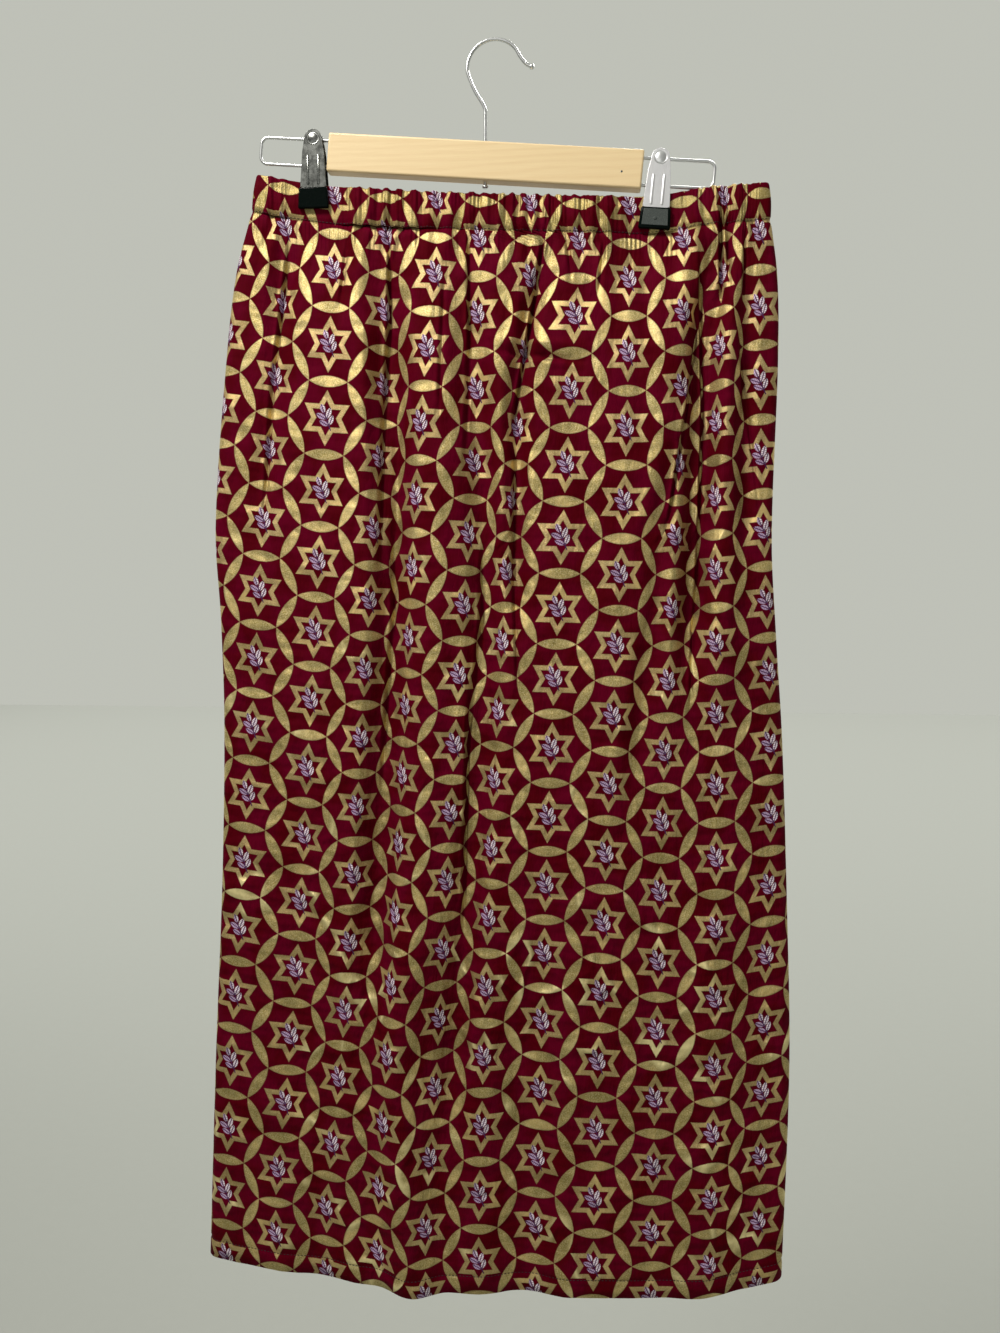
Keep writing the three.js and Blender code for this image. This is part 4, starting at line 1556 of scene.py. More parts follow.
@dataclass
class SkirtHalf:
    """One half of the skirt: its panel, its casing and its turned hem, with their stitches."""

    half: Half
    finishes: Finishes
    panel_columns: int
    panel_levels: int
    cloth_wall: float = 0.8
    cad_wall: float = 1.6
    casing_wall: float = 2.4
    hem_wall: float = 0.7
    room: float = 0.2
    edge_gap: float = 0.1
    hem_gap: float = 0.05
    hem_levels: int = 5
    hem_offsets: tuple[float, ...] = (-4.0, -2.4, -1.2, 0.0, 1.2, 2.4, 4.0)
    waist_pull: float = 1.0
    waist_pull_reach: float = 3.0
    hem_pull: float = 0.9
    hem_pull_reach: float = 1.8
    casing_steps: int = 20
    stitch_steps: int = 12
    stitch_pitch: float = 3.1
    stitch_length: float = 2.3
    stitch_inset: float = 0.72
    seam_margin: float = 3.0
    thread_radius: float = 0.28
    crinkle: float = 0.5
    ripple_depth: float = 0.58
    top_wave: float = 0.55
    top_wave_turns: float = 560.0
    top_wave_sway: float = 90.0
    tuck: float = 2.8
    tuck_from: tuple[float, float] = (-212.0, -192.0)
    tuck_until: tuple[float, float] = (-72.0, -42.0)
    close_until: float = 170.0

    @property
    def word(self) -> str:
        """Give the half's name."""
        return self.half.name.lower()

    def levels(self) -> Array:
        """Give the panel's levels, closer together near the waist and at the hem's stitches.

        Returns:
            Distances below the casing's top edge.
        """
        near = self.panel_levels * 2 // 5
        waist = np.linspace(TUBE.casing_height, self.close_until, near, endpoint=False)
        hem = TUBE.length - TUBE.hem_turn + np.array(self.hem_offsets)
        rest = np.linspace(self.close_until, TUBE.length, self.panel_levels - near - len(hem))
        apart = (rest < hem[0] - 1.0) | (rest > hem[-1] + 1.0)
        return np.sort(np.concatenate([waist, rest[apart], hem]))

    def loosened(self, sheet: ClothSheet, points: Array, cloth: Array, levels: Sequence[float]) -> Array:
        """Move points by the cloth's small unevenness, less where it is held.

        Args:
            sheet: The grid that the points are on.
            points: The points in millimetres.
            cloth: Their places on the flat cloth.
            levels: Their levels.

        Returns:
            The moved points.
        """
        below = np.asarray(levels, float)[:, None]
        left, right = TUBE.station("left", below), TUBE.station("right", below)
        x = points[:, :, 0]
        free = smooth_step(np.minimum(x - left, right - x), 2.0, 26.0) * (1.0 - TUBE.gripped(x, below))
        moved = points.copy()
        drawn = 1.0 - smooth_step(below, TUBE.casing_height - 2.0, TUBE.casing_height + 2.0)
        rise = crinkle(cloth, self.crinkle) + self.ripple_depth * ripple(cloth) * drawn
        if self.half is Half.FRONT and below[-1, 0] > TUBE.casing_height:
            under = np.exp(-(((below - TUBE.casing_height) / 4.0) ** 2))
            starts, ends = smooth_step(x, *self.tuck_from), 1.0 - smooth_step(x, *self.tuck_until)
            rise = rise - self.tuck * under * starts * ends
        moved[:, :, 1] += sheet.half.value * rise * free
        bumpy = 1.0 - smooth_step(below, 0.0, 7.0)
        along = cloth[:, :, 0]
        wave = np.sin(along * self.top_wave_turns + 2 * np.sin(along * self.top_wave_sway))
        moved[:, :, 2] += self.top_wave * bumpy * free * wave
        return moved

    def shell(
        self,
        name: str,
        columns: int,
        levels: Sequence[float],
        outer: Sequence[float],
        inner: Sequence[float],
    ) -> Piece:
        """Make one closed shell of cloth.

        Args:
            name: The piece's name.
            columns: Steps across the middle.
            levels: Distances below the top edge.
            outer: How far inside the form each level's outer face lies.
            inner: The same for the inner face.

        Returns:
            The piece.
        """
        sheet = ClothSheet(self.half, columns)
        wall = self.casing_wall if levels[-1] <= TUBE.casing_height else self.cad_wall
        least = wall + self.room
        on_form = sheet.points(levels, np.zeros(len(levels)), least)
        cloth = sheet.fabric(on_form, levels)
        outside = self.loosened(sheet, sheet.points(levels, outer, least), cloth, levels)
        inside = self.loosened(sheet, sheet.points(levels, inner, least), cloth, levels)
        below = np.asarray(levels, float)[:, None] * np.ones((1, outside.shape[1]))
        gathered = smooth_step(below, TUBE.casing_height - 1.0, TUBE.casing_height + 1.0)
        joined = TUBE.casing_height + TUBE.gather_join
        gathered = gathered * (1.0 - smooth_step(below, TUBE.casing_height + 4.0, joined))
        mesh = wall_mesh(name, outside, inside, cloth.reshape(-1, 3), gathered)
        return new_object(name, mesh, self.finishes.cotton)

    def panel(self) -> Piece:
        """Make the panel from the casing's stitches to the hem's edge, pulled in at both stitch lines.

        Returns:
            The piece.
        """
        levels = self.levels()
        pull = self.waist_pull * np.exp(-(((levels - TUBE.casing_height) / self.waist_pull_reach) ** 2))
        hem_line = TUBE.length - TUBE.hem_turn
        pull = pull + self.hem_pull * np.exp(-(((levels - hem_line) / self.hem_pull_reach) ** 2))
        piece = self.shell(f"{self.word}_cloth", self.panel_columns, levels, pull, pull + self.cloth_wall)
        declare(piece, Slot.COTTON, f"{self.word}_panel")
        return piece

    def casing(self) -> Piece:
        """Make the elastic casing: a rounded top fold, a soft swell, and a pinch at its stitches.

        Returns:
            The piece.
        """
        middle = self.casing_wall / 2
        top = [(0.0, middle - 0.25), (0.3, 0.62), (0.8, 0.28), (1.6, 0.06)]
        body = [(b, -0.9 * math.sin(math.pi * (b - 2.5) / 25.0)) for b in np.linspace(2.5, 26.5, 12)]
        foot = [(27.6, 0.3), (28.5, 0.66), (29.2, 0.86), (TUBE.casing_height - self.edge_gap, 0.92)]
        rows = top + [(float(b), float(i)) for b, i in body] + foot
        levels = [b for b, _ in rows]
        outer = [i for _, i in rows]
        inner = [self.casing_wall - i for i in outer]
        piece = self.shell(f"{self.word}_waist", TUBE.gathers * self.casing_steps, levels, outer, inner)
        declare(piece, Slot.COTTON, f"{self.word}_casing")
        return piece

    def hem(self) -> Piece:
        """Make the turned hem inside the panel's lower edge.

        Returns:
            The piece.
        """
        levels = np.linspace(TUBE.length - TUBE.hem_turn, TUBE.length - self.edge_gap, self.hem_levels)
        outer = np.full(self.hem_levels, self.cad_wall + self.hem_gap)
        piece = self.shell(f"{self.word}_hem_turn", self.panel_columns, levels, outer, outer + self.hem_wall)
        declare(piece, Slot.COTTON, f"{self.word}_hem")
        return piece

    def stitch_places(self, below: float, inset: float) -> Array:
        """Give evenly spaced places along one level of the cloth's face.

        Args:
            below: The level.
            inset: How far inside the form the thread's middle lies.

        Returns:
            Points in millimetres, one at each end of each stitch.
        """
        sheet = ClothSheet(self.half, TUBE.gathers * self.stitch_steps)
        row = sheet.points([below], [inset], self.cad_wall + self.room)
        cloth = sheet.fabric(row, [below])
        row = self.loosened(sheet, row, cloth, [below])[0]
        steps = np.linalg.norm(np.diff(row, axis=0), axis=1)
        arc = np.concatenate([[0.0], np.cumsum(steps)])
        starts = np.arange(self.seam_margin, arc[-1] - self.seam_margin, self.stitch_pitch)
        at = np.stack([starts, starts + self.stitch_length], axis=1).ravel()
        return np.stack([np.interp(at, arc, row[:, k]) for k in range(3)], axis=1)

    def stitches(self) -> None:
        """Sew the casing's line and the hem's line, a small capsule for each stitch."""
        mesh = bmesh.new()
        for below in (TUBE.casing_height - 0.9, TUBE.length - TUBE.hem_turn + 0.3):
            ends = self.stitch_places(below, self.stitch_inset).reshape(-1, 2, 3) * MM
            for start, end in ends:
                add_capsule(mesh, Vector(start), Vector(end), self.thread_radius * MM)
        data = bpy.data.meshes.new(f"{self.word}_stitches")
        mesh.to_mesh(data)
        mesh.free()
        data.shade_smooth()
        piece = new_object(f"{self.word}_stitches", data, self.finishes.thread)
        declare(piece, Slot.COTTON)

    def build(self) -> None:
        panel = self.panel()
        casing = self.casing()
        hem = self.hem()
        self.stitches()


def add_capsule(mesh: RawMesh, start: Vector, end: Vector, radius: float, sides: int = 6) -> None:
    """Add a thin closed capsule between two points.

    Args:
        mesh: The mesh to add to.
        start: One end.
        end: The other end.
        radius: Its radius.
        sides: Its number of sides.
    """
    run = end - start
    turn = run.to_track_quat("Z", "Y").to_matrix()
    rings = []
    for share, size in ((0.06, 0.62), (0.25, 1.0), (0.75, 1.0), (0.94, 0.62)):
        centre = start + run * share
        ring = []
        for i in range(sides):
            angle = 2 * math.pi * i / sides
            spoke = turn @ Vector((math.cos(angle), math.sin(angle), 0))
            ring.append(mesh.verts.new(centre + spoke * radius * size))
        rings.append(ring)
    for first, second in zip(rings, rings[1:]):
        for i in range(sides):
            j = (i + 1) % sides
            mesh.faces.new((first[i], first[j], second[j], second[i]))
    mesh.faces.new(rings[0][::-1])
    mesh.faces.new(rings[-1])


def smooth_route(points: Sequence[Vector], steps: int) -> list[Vector]:
    """Run a smooth curve through points.

    Args:
        points: The points to pass.
        steps: Steps between two points.

    Returns:
        The curve's points.
    """
    padded = [points[0] * 2 - points[1], *points, points[-1] * 2 - points[-2]]
    route = []
    for a, b, c, d in zip(padded, padded[1:], padded[2:], padded[3:]):
        for k in range(steps):
            t = k / steps
            square, cube = 2 * a - 5 * b + 4 * c - d, 3 * b - a - 3 * c + d
            route.append(0.5 * ((2 * b) + (c - a) * t + square * t**2 + cube * t**3))
    route.append(points[-1].copy())
    return route


def add_wire(mesh: RawMesh, route: Sequence[Vector], radius: float, sides: int = 16) -> None:
    """Add a round wire along a route that stays in one upright plane.

    Args:
        mesh: The mesh to add to.
        route: The wire's middle line.
        radius: Its radius.
        sides: Its number of sides.
    """
    aside = Vector((0, 1, 0))
    rings = []
    for i, point in enumerate(route):
        ahead = (route[min(i + 1, len(route) - 1)] - route[max(i - 1, 0)]).normalized()
        across = ahead.cross(aside).normalized()
        ring = []
        for k in range(sides):
            angle = 2 * math.pi * k / sides
            spoke = across * math.cos(angle) + aside * math.sin(angle)
            ring.append(mesh.verts.new(point + spoke * radius))
        rings.append(ring)
    for first, second in zip(rings, rings[1:]):
        for k in range(sides):
            j = (k + 1) % sides
            mesh.faces.new((first[k], second[k], second[j], first[j]))
    mesh.faces.new(rings[0])
    mesh.faces.new(rings[-1][::-1])


def arc_points(radius: float, degrees: Iterable[int]) -> list[tuple[float, float]]:
    """Give points on a circle.

    Args:
        radius: The circle's radius.
        degrees: The points' angles.

    Returns:
        The points.
    """
    return [(radius * math.cos(math.radians(a)), radius * math.sin(math.radians(a))) for a in degrees]


def add_outline(mesh: RawMesh, outline: Outline, near: float, far: float) -> None:
    """Add a flat plate from an outline in x and z, between two depths, in millimetres.

    Args:
        mesh: The mesh to add to.
        outline: The outline's corners.
        near: The depth of its front face, along Y.
        far: The depth of its back face.
    """
    front = [mesh.verts.new(Vector((x, near, z)) * MM) for x, z in outline]
    back = [mesh.verts.new(Vector((x, far, z)) * MM) for x, z in outline]
    mesh.faces.new(front)
    mesh.faces.new(back[::-1])
    for i in range(len(outline)):
        j = (i + 1) % len(outline)
        mesh.faces.new((front[j], front[i], back[i], back[j]))


def add_turned(mesh: RawMesh, profile: Outline, place: Vector, axis: Vector, sides: int = 32) -> None:
    """Add a closed turned shape.

    Args:
        mesh: The mesh to add to.
        profile: Radius and height along the axis, in millimetres, from axis to axis.
        place: Where the profile's height is 0, in millimetres.
        axis: The axis's direction.
        sides: Its number of sides.
    """
    turn = axis.to_track_quat("Z", "Y").to_matrix()
    rings = []
    for radius, height in profile:
        if radius < 1e-6:
            rings.append([mesh.verts.new((place + turn @ Vector((0, 0, height))) * MM)])
            continue
        ring = []
        for k in range(sides):
            angle = 2 * math.pi * k / sides
            spot = Vector((radius * math.cos(angle), radius * math.sin(angle), height))
            ring.append(mesh.verts.new((place + turn @ spot) * MM))
        rings.append(ring)
    for first, second in zip(rings, rings[1:]):
        for k in range(sides):
            j = (k + 1) % sides
            if len(first) == 1:
                mesh.faces.new((first[0], second[j], second[k]))
            elif len(second) == 1:
                mesh.faces.new((first[k], first[j], second[0]))
            else:
                mesh.faces.new((first[k], first[j], second[j], second[k]))


def finish_piece(
    name: str, mesh: RawMesh, place: Matrix, material: Material, bevel: float = 0.0
) -> Piece:
    """Turn a mesh's faces outward, place it, and give it its finish and rounded edges.

    Args:
        name: The piece's name.
        mesh: The mesh in its own frame, in metres.
        place: Its frame.
        material: Its finish.
        bevel: The radius of its rounded edges, in millimetres.

    Returns:
        The piece.
    """
    bmesh.ops.transform(mesh, matrix=place, verts=mesh.verts)
    bmesh.ops.recalc_face_normals(mesh, faces=mesh.faces)
    data = bpy.data.meshes.new(name)
    mesh.to_mesh(data)
    mesh.free()
    piece = new_object(name, data, material)
    if bevel > 0:
        rounding = piece.modifiers.new("rounded_edges", "BEVEL")
        rounding.width = bevel * MM
        rounding.segments = BEVEL_STEPS
        rounding.limit_method = "ANGLE"
        rounding.angle_limit = math.radians(BEVEL_ANGLE)
    data.shade_smooth()
    data.set_sharp_from_angle(angle=math.radians(SHARP_ANGLE))
    return piece


@dataclass
class Hook:
    """The wire hook, with its ball tip and the headed end of its shaft below the board."""

    finishes: Finishes
    wire_radius: float = 1.5
    crown_radius: float = 22.3
    arc_from: float = 22.0
    arc_to: float = 190.0
    arc_steps: int = 10
    tip_radius: float = 2.3
    shaft_x: float = -7.7
    stub: float = 5.0
    head_rise: float = 1.2

    def bar_underside(self) -> float:
        """Give the height of the board's underside at the shaft.

        Returns:
            The height in millimetres.
        """
        tilt = math.radians(LAYOUT.tilt)
        drop = LAYOUT.bar_height / 2 / math.cos(tilt)
        return LAYOUT.bar_z - drop - (self.shaft_x - LAYOUT.bar_x) * math.tan(tilt)

    def route(self) -> list[Vector]:
        """Give the wire's middle line, from its tip round the crown and down the shaft.

        Returns:
            Its points in millimetres.
        """
        centre = self.wire_radius - self.crown_radius
        flare = [Vector((30.4, 0, centre - 0.4)), Vector((25.6, 0, centre + 2.2))]
        arc = []
        for i in range(self.arc_steps + 1):
            angle = math.radians(self.arc_from + (self.arc_to - self.arc_from) * i / self.arc_steps)
            across, up = self.crown_radius * math.cos(angle), self.crown_radius * math.sin(angle)
            arc.append(Vector((across, 0, centre + up)))
        neck = [
            Vector((-16.4, 0, -38.2)),
            Vector((self.shaft_x - 0.8, 0, -51.5)),
            Vector((self.shaft_x, 0, -60)),
            Vector((self.shaft_x, 0, -85)),
            Vector((self.shaft_x, 0, self.bar_underside() - self.stub)),
        ]
        return smooth_route([*flare, *arc, *neck], 7)

    def build(self) -> None:
        mesh = bmesh.new()
        route = self.route()
        add_wire(mesh, [p * MM for p in route], self.wire_radius * MM, 18)
        ball = []
        for k in range(11):
            angle = math.pi * k / 10
            ball.append((self.tip_radius * math.sin(angle), -self.tip_radius * math.cos(angle)))
        ball[0], ball[-1] = (0.0, ball[0][1]), (0.0, ball[-1][1])
        add_turned(mesh, ball, route[0], Vector((0, 1, 0)), 20)
        head = [(0, -1), (2.1, -1), (2.6, -0.5), (2.6, 0.5), (2.1, 1), (0, 1)]
        foot = Vector((self.shaft_x, 0, self.bar_underside() - self.stub + self.head_rise))
        add_turned(mesh, head, foot, Vector((0, 0, 1)), 24)
        piece = finish_piece("hook_wire", mesh, Matrix.Identity(4), self.finishes.wire)
        declare(piece, Slot.STEEL, "hook")


@dataclass
class Board:
    """The wooden board, with a small pin at its right end, and the wire loop at each end."""

    finishes: Finishes
    edge_round: float = 1.6
    pin_inside: float = 17.0
    pin_drop: float = 3.0

    def board(self) -> None:
        mesh = bmesh.new()
        x, z, y = LAYOUT.bar_length / 2, LAYOUT.bar_height / 2, LAYOUT.bar_depth / 2
        add_outline(mesh, [(-x, -z), (x, -z), (x, z), (-x, z)], -y, y)
        piece = finish_piece("board", mesh, LAYOUT.bar_frame(), self.finishes.wood, self.edge_round)
        declare(piece, Slot.WOOD, "hanger_bar")

    def pin(self) -> None:
        """Make the small pin that holds the right loop in the board."""
        mesh = bmesh.new()
        dome = [(0, -1.5), (0.9, -1.5), (0.9, 0.05), (0.6, 0.22), (0, 0.28)]
        place = Vector((LAYOUT.bar_length / 2 - self.pin_inside, -LAYOUT.bar_depth / 2, -self.pin_drop))
        add_turned(mesh, dome, place, Vector((0, -1, 0)), 16)
        piece = finish_piece("board_pin", mesh, LAYOUT.bar_frame(), self.finishes.clip_dark)
        declare(piece, Slot.STEEL)

    def loop(self, side: int, name: str) -> None:
        """Make and declare one wire loop.

        Args:
            side: -1 for the left end, 1 for the right.
            name: The side's name.
        """
        start = side * (LAYOUT.bar_length / 2 - LAYOUT.rail_inside)
        end = side * (LAYOUT.bar_length / 2 + LAYOUT.rail_reach)
        up, corner = LAYOUT.rail_spacing / 2, LAYOUT.rail_corner
        upper, lower = [Vector((start, 0, up)) * MM], [Vector((start, 0, -up)) * MM]
        for i in range(9):
            angle = math.radians(90 * i / 8)
            along = end - side * corner * (1 - math.sin(angle))
            height = up - corner * (1 - math.cos(angle))
            upper.append(Vector((along, 0, height)) * MM)
            lower.append(Vector((along, 0, -height)) * MM)
        mesh = bmesh.new()
        add_wire(mesh, [*upper, *lower[::-1]], LAYOUT.rail_radius * MM)
        piece = finish_piece(f"{name}_loop", mesh, LAYOUT.bar_frame(), self.finishes.wire)
        declare(piece, Slot.STEEL, f"rail_{name}")

    def build(self) -> None:
        self.board()
        self.pin()
        self.loop(-1, "left")
        self.loop(1, "right")


@dataclass
class Clip:
    """One clip: two pressed jaws with ribs and a domed spring cover, soft tips, and a spring strip."""

    side: int
    finishes: Finishes
    thickness: float = 0.9
    plate_round: float = 0.25
    top: float = 7.4
    neck: float = 9.2
    neck_drop: float = 11.0
    foot: float = 11.0
    tongue: float = 9.6
    pocket: float = 12.0
    splay: float = 1.7
    play: float = 0.8
    spring_thickness: float = 0.8
    spring_width: float = 11.0
    spring_leg: float = 17.0
    tip_width: float = 26.0
    tip_inner: float = 2.9
    tip_outer: float = 7.0
    tip_round: float = 1.3
    gap: float = 0.3
    rib_x: float = 4.4
    rib_half: float = 1.2
    rib_top: float = 14.5
    rib_above_foot: float = 3.2
    plate: Material = field(init=False)

    def __post_init__(self) -> None:
        """Choose the plate's finish: the left clip takes a darker copy of the steel, painted shade for its
        dark reflections.
        """
        self.plate = self.finishes.clip_dark if self.side < 0 else self.finishes.clip_bright

    @property
    def word(self) -> str:
        """Give the clip's side."""
        return "left" if self.side < 0 else "right"

    @property
    def back_of_jaw(self) -> float:
        """Give how far the jaw's inner face stands off the rails' plane."""
        return LAYOUT.rail_radius + self.play + self.spring_thickness + self.gap

    def face(self, turn: int) -> Matrix:
        """Give the frame of the front (0) or back (1) half of the clip."""
        frame_here = LAYOUT.clip_frame(self.side, CLIP_LEAN[self.side])
        return frame_here @ Matrix.Rotation(math.pi * turn, 4, "Z")

    def jaw_outline(self) -> list[tuple[float, float]]:
        """Give the jaw's outline: round at the rail, widening to its foot, with a narrower tongue.

        Returns:
            Its corners in millimetres.
        """
        foot_z = -(LAYOUT.clip_drop - LAYOUT.tip_height)
        tongue_end = foot_z - self.pocket + 1.0
        arc = arc_points(self.top, range(0, 181, 10))
        left = [
            (-self.neck, -self.neck_drop),
            (-self.foot, foot_z + 0.5),
            (-self.tongue, foot_z + 0.5),
            (-self.tongue, tongue_end),
        ]
        return arc + left + [(-x, z) for x, z in reversed(left)]

    def rib(self, mesh: RawMesh, x: float, top: float, foot: float) -> None:
        """Add a raised rib with round ends on the jaw's outer face.

        Args:
            mesh: The jaw's mesh.
            x: The rib's middle.
            top: The height of its upper end.
            foot: The height of its lower end.
        """
        ends = [(top, range(0, 181, 20)), (foot, range(180, 361, 20))]
        rings = []
        for size, depth in ((1.0, 0.35), (0.88, -0.35), (0.55, -0.62)):
            ring = []
            for middle, angles in ends:
                for across, up in arc_points(self.rib_half * size, angles):
                    spot = Vector((x + across, depth - self.thickness, middle + up))
                    ring.append(mesh.verts.new(spot * MM))
            rings.append(ring)
        count = len(rings[0])
        for first, second in zip(rings, rings[1:]):
            for i in range(count):
                j = (i + 1) % count
                mesh.faces.new((first[i], first[j], second[j], second[i]))
        mesh.faces.new(rings[0][::-1])
        mesh.faces.new(rings[-1])

    def jaw(self, word: str, turn: int) -> None:
        """Make and declare one jaw.

        Args:
            word: front or back.
            turn: 0 or 1.
        """
        mesh = bmesh.new()
        add_outline(mesh, self.jaw_outline(), -self.thickness, 0.0)
        foot_z = -(LAYOUT.clip_drop - LAYOUT.tip_height)
        for x in (-self.rib_x, self.rib_x):
            self.rib(mesh, x, -self.rib_top, foot_z + self.rib_above_foot)
        set_back = Matrix.Translation(Vector((0, -self.back_of_jaw * MM, 0)))
        place = self.face(turn) @ (set_back @ Matrix.Rotation(math.radians(-self.splay), 4, "X"))
        piece = finish_piece(f"clip_{self.word}_{word}_plate", mesh, place, self.plate, self.plate_round)
        declare(piece, Slot.STEEL, f"clip_{self.word}_{word}_jaw")
        cover = bmesh.new()
        flange = [(0, -0.3), (5.5, -0.3), (5.5, 0.2), (5.2, 0.45), (4.6, 0.2)]
        dome = flange + [(3.8, 0.55), (2.0, 1.0), (0, 1.12)]
        add_turned(cover, dome, Vector((0, -self.thickness, 0)), Vector((0, -1, 0)), 40)
        domed = self.finishes.dome_dark if self.side < 0 else self.finishes.dome_bright
        piece = finish_piece(f"clip_{self.word}_{word}_dome", cover, place, domed)
        declare(piece, Slot.STEEL)

    def tip(self, word: str, turn: int) -> None:
        """Make and declare one soft tip, with its smoky inset and dimple on the right clip.

        Args:
            word: front or back.
            turn: 0 or 1.
        """
        mesh = bmesh.new()
        half, low = self.tip_width / 2, -LAYOUT.clip_drop
        high = low + LAYOUT.tip_height
        outline = [(-half, low), (half, low), (half - 1.0, high), (-half + 1.0, high)]
        add_outline(mesh, outline, -self.tip_outer, -self.tip_inner)
        name = f"clip_{self.word}_{word}_grip"
        piece = finish_piece(name, mesh, self.face(turn), self.finishes.vinyl, self.tip_round)
        declare(piece, Slot.VINYL, f"clip_{self.word}_{word}_tip")
        if self.side > 0:
            self.inset(word, turn, low, high)

    def inset(self, word: str, turn: int, low: float, high: float) -> None:
        """Make the right tip's smoky face with its round dimple.

        Args:
            word: front or back.
            turn: 0 or 1.
            low: The tip's lower edge.
            high: The tip's upper edge.
        """
        mesh = bmesh.new()
        half = self.tip_width / 2 - 2.4
        foot, head = low + 2.6, high - 1.6
        outline = [(-half, foot), (half, foot), (half - 0.8, head), (-half + 0.8, head)]
        add_outline(mesh, outline, -self.tip_outer - 0.35, -self.tip_outer + 0.4)
        dimple = [(0, -0.2), (1.5, -0.2), (1.5, 0.15), (1.1, 0.5), (0.5, 0.62), (0, 0.65)]
        middle = Vector((0, -self.tip_outer - 0.3, (low + high) / 2 - 0.6))
        add_turned(mesh, dimple, middle, Vector((0, -1, 0)), 20)
        name = f"clip_{self.word}_{word}_tip_face"
        piece = finish_piece(name, mesh, self.face(turn), self.finishes.tip_plate, 0.3)
        declare(piece, Slot.VINYL)

    def spring(self) -> None:
        inner = LAYOUT.rail_radius + self.play
        outer = inner + self.spring_thickness
        mesh = bmesh.new()
        loop = [(outer, -self.spring_leg)]
        loop += arc_points(outer, range(0, 181, 12))
        loop += [(-outer, -self.spring_leg), (-inner, -self.spring_leg)]
        loop += arc_points(inner, range(180, -1, -12))
        loop += [(inner, -self.spring_leg)]
        half = self.spring_width / 2
        sides = [[mesh.verts.new(Vector((x, y, z)) * MM) for y, z in loop] for x in (-half, half)]
        count = len(loop)
        for i in range(count):
            j = (i + 1) % count
            mesh.faces.new((sides[0][i], sides[0][j], sides[1][j], sides[1][i]))
        split = count // 2
        for ring in sides:
            for i in range(split - 1):
                mesh.faces.new((ring[i], ring[i + 1], ring[count - 2 - i], ring[count - 1 - i]))
        frame_here = LAYOUT.clip_frame(self.side, CLIP_LEAN[self.side])
        piece = finish_piece(f"clip_{self.word}_strip", mesh, frame_here, self.plate, 0.15)
        declare(piece, Slot.STEEL, f"clip_{self.word}_spring")

    def build(self) -> None:
        for turn, word in enumerate(("front", "back")):
            self.jaw(word, turn)
            self.tip(word, turn)
        self.spring()


@dataclass(frozen=True)
class PhotoCamera:
    """The camera at the photograph's distance and angle."""

    place: tuple[float, float, float] = (0.0778, -0.869, -0.4416)
    look_left: float = 4.82
    look_down: float = 4.67
    focal_pixels: float = 1020.0
    image_height: float = 1333.0
    sensor: float = 36.0

    def build(self) -> None:
        """Make the camera and give it to the scene."""
        data = bpy.data.cameras.new("photo_camera")
        data.sensor_width = self.sensor
        data.lens = self.focal_pixels / self.image_height * self.sensor
        data.clip_start = 0.01
        camera = bpy.data.objects.new("photo_camera", data)
        camera.location = self.place
        camera.rotation_euler = (math.radians(90 - self.look_down), 0, math.radians(self.look_left))
        bpy.context.scene.collection.objects.link(camera)
        bpy.context.scene.camera = camera


@dataclass(frozen=True)
class Lamp:
    """A soft rectangular lamp."""

    name: str
    place: tuple[float, float, float]
    target: tuple[float, float, float]
    size: tuple[float, float]
    power: float
    colour: tuple[float, float, float]

    def build(self) -> None:
        """Make the lamp, turned to its target."""
        data = bpy.data.lights.new(self.name, "AREA")
        data.shape = "RECTANGLE"
        data.size, data.size_y = self.size
        data.energy = self.power
        data.color = self.colour
        lamp = bpy.data.objects.new(self.name, data)
        lamp.location = self.place
        lamp.rotation_euler = (Vector(self.target) - Vector(self.place)).to_track_quat("-Z", "Y").to_euler()
        bpy.context.scene.collection.objects.link(lamp)


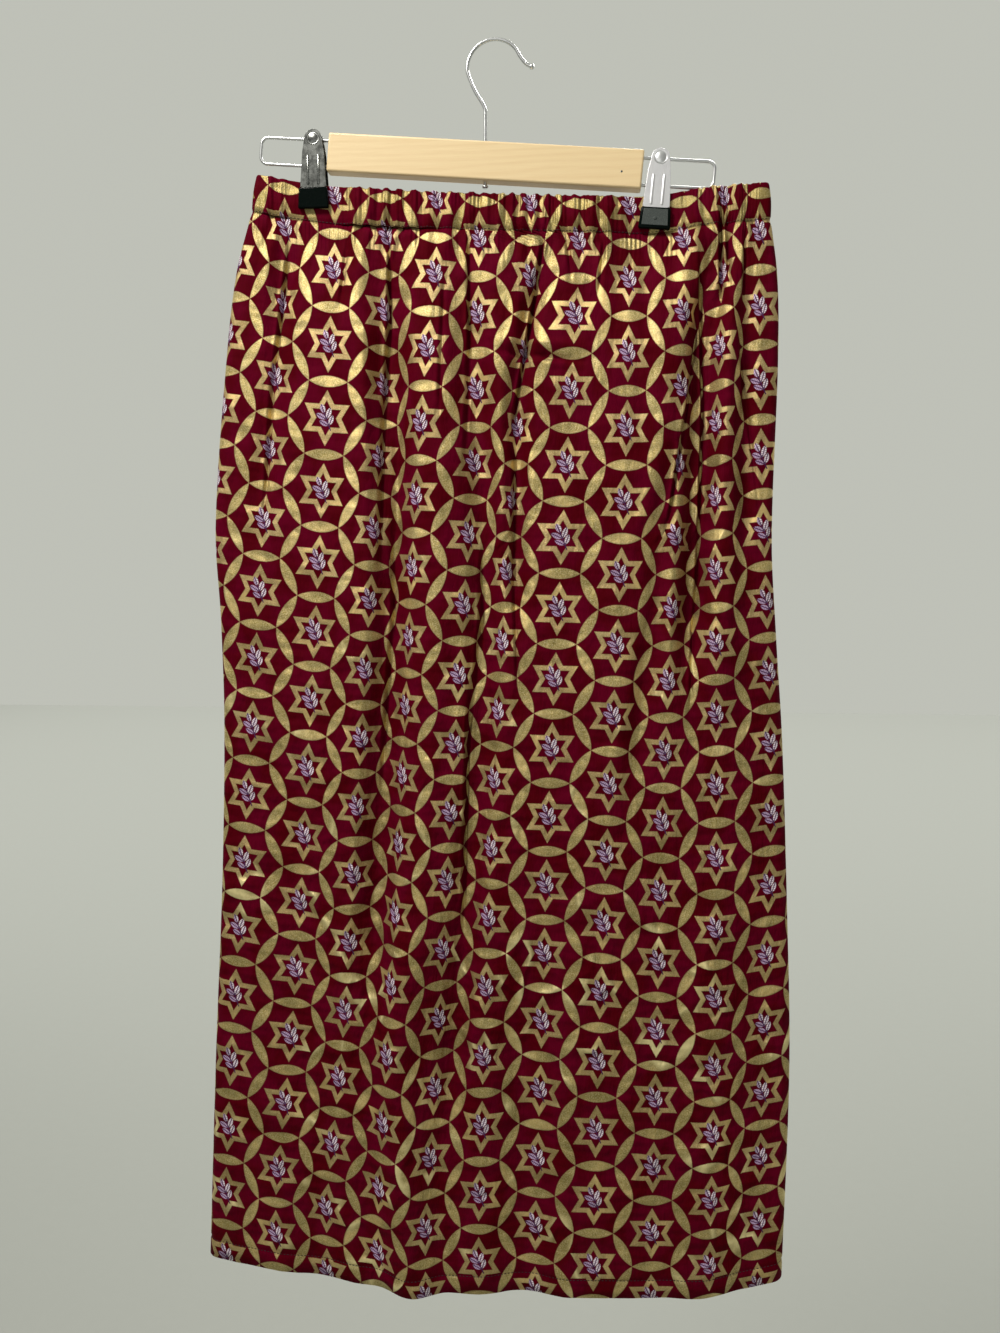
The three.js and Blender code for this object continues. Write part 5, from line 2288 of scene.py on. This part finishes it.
@dataclass(frozen=True)
class Studio:
    """A plain pale floor, a pale surround and soft lamps."""

    floor_z: float = -2.3
    floor_half: float = 14.0
    floor_colour: Colour = (0.42, 0.43, 0.395, 1)
    surround: Colour = (0.52, 0.53, 0.475, 1)
    surround_front: Colour = (0.25, 0.25, 0.235, 1)
    dim_until: float = -0.5
    bright_from: float = 0.6
    height_share: float = 0.55
    lamps: tuple[Lamp, ...] = (
        Lamp("ceiling", (-0.70, -0.90, 0.95), (0.0, 0.0, -0.45), (0.45, 0.35), 24.5, (1.0, 0.97, 0.92)),
        Lamp("behind", (0.6, 1.1, 1.0), (0.0, 0.0, -0.5), (0.6, 0.5), 26.0, (1.0, 0.98, 0.95)),
        Lamp("front_fill", (-0.3, -1.6, -0.4), (0.0, 0.0, -0.4), (1.2, 1.2), 2.9, (1.0, 0.99, 0.96)),
        Lamp("floor_wash", (0.0, 10.0, 0.0), (0.0, 10.0, -2.3), (22.0, 16.0), 880.0, (1.0, 1.0, 0.98)),
    )

    def floor(self) -> None:
        """Make the floor."""
        g = Graph("pale_floor")
        place = g.add("TexCoord").outputs["Object"]
        speck = g.noise(place, 30.0, 3.0)
        darker = tuple(channel * 0.97 for channel in self.floor_colour[:3]) + (1.0,)
        material = g.surface(Base_Color=g.mix(speck, self.floor_colour, darker), Roughness=0.9)
        half = self.floor_half
        mesh = bpy.data.meshes.new("floor")
        sides = ((-half, -half), (half, -half), (half, half), (-half, half))
        corners = [(x, y, self.floor_z) for x, y in sides]
        mesh.from_pydata(corners, [], [(0, 1, 2, 3)])
        new_object("floor", mesh, material)

    def world(self) -> None:
        """Make the pale surround, dimmest low in front of the skirt and brightest behind it."""
        world = bpy.data.worlds.new("surround")
        world.use_nodes = True
        nodes, links = world.node_tree.nodes, world.node_tree.links
        split = nodes.new("ShaderNodeSeparateXYZ")
        links.new(nodes.new("ShaderNodeTexCoord").outputs["Generated"], split.inputs[0])
        turn = nodes.new("ShaderNodeMapRange")
        turn.interpolation_type = "SMOOTHSTEP"
        turn.inputs["From Min"].default_value = self.dim_until
        turn.inputs["From Max"].default_value = self.bright_from
        raised = nodes.new("ShaderNodeMath")
        raised.operation = "MULTIPLY_ADD"
        raised.inputs[1].default_value = self.height_share
        links.new(split.outputs[2], raised.inputs[0])
        links.new(split.outputs[1], raised.inputs[2])
        links.new(raised.outputs[0], turn.inputs["Value"])
        blend = nodes.new("ShaderNodeMix")
        blend.data_type = "RGBA"
        blend.inputs[6].default_value = self.surround_front
        blend.inputs[7].default_value = self.surround
        links.new(turn.outputs[0], blend.inputs["Factor"])
        links.new(blend.outputs[2], nodes["Background"].inputs["Color"])
        bpy.context.scene.world = world

    def build(self) -> None:
        """Make the floor, the surround and the lamps."""
        self.floor()
        self.world()
        for lamp in self.lamps:
            lamp.build()
        bpy.context.scene.view_settings.view_transform = "Standard"


def main() -> None:
    """Build the camera, the studio and every piece of the skirt and its hanger."""
    logging.basicConfig(level=logging.INFO, format="%(name)s %(message)s", stream=sys.stdout)
    PhotoCamera().build()
    Studio().build()
    finishes = Finishes.make()
    Hook(finishes).build()
    Board(finishes).build()
    for side in (-1, 1):
        Clip(side, finishes).build()
    SkirtHalf(Half.FRONT, finishes, panel_columns=304, panel_levels=150).build()
    SkirtHalf(Half.BACK, finishes, panel_columns=220, panel_levels=130).build()


if __name__ == "__main__":
    main()
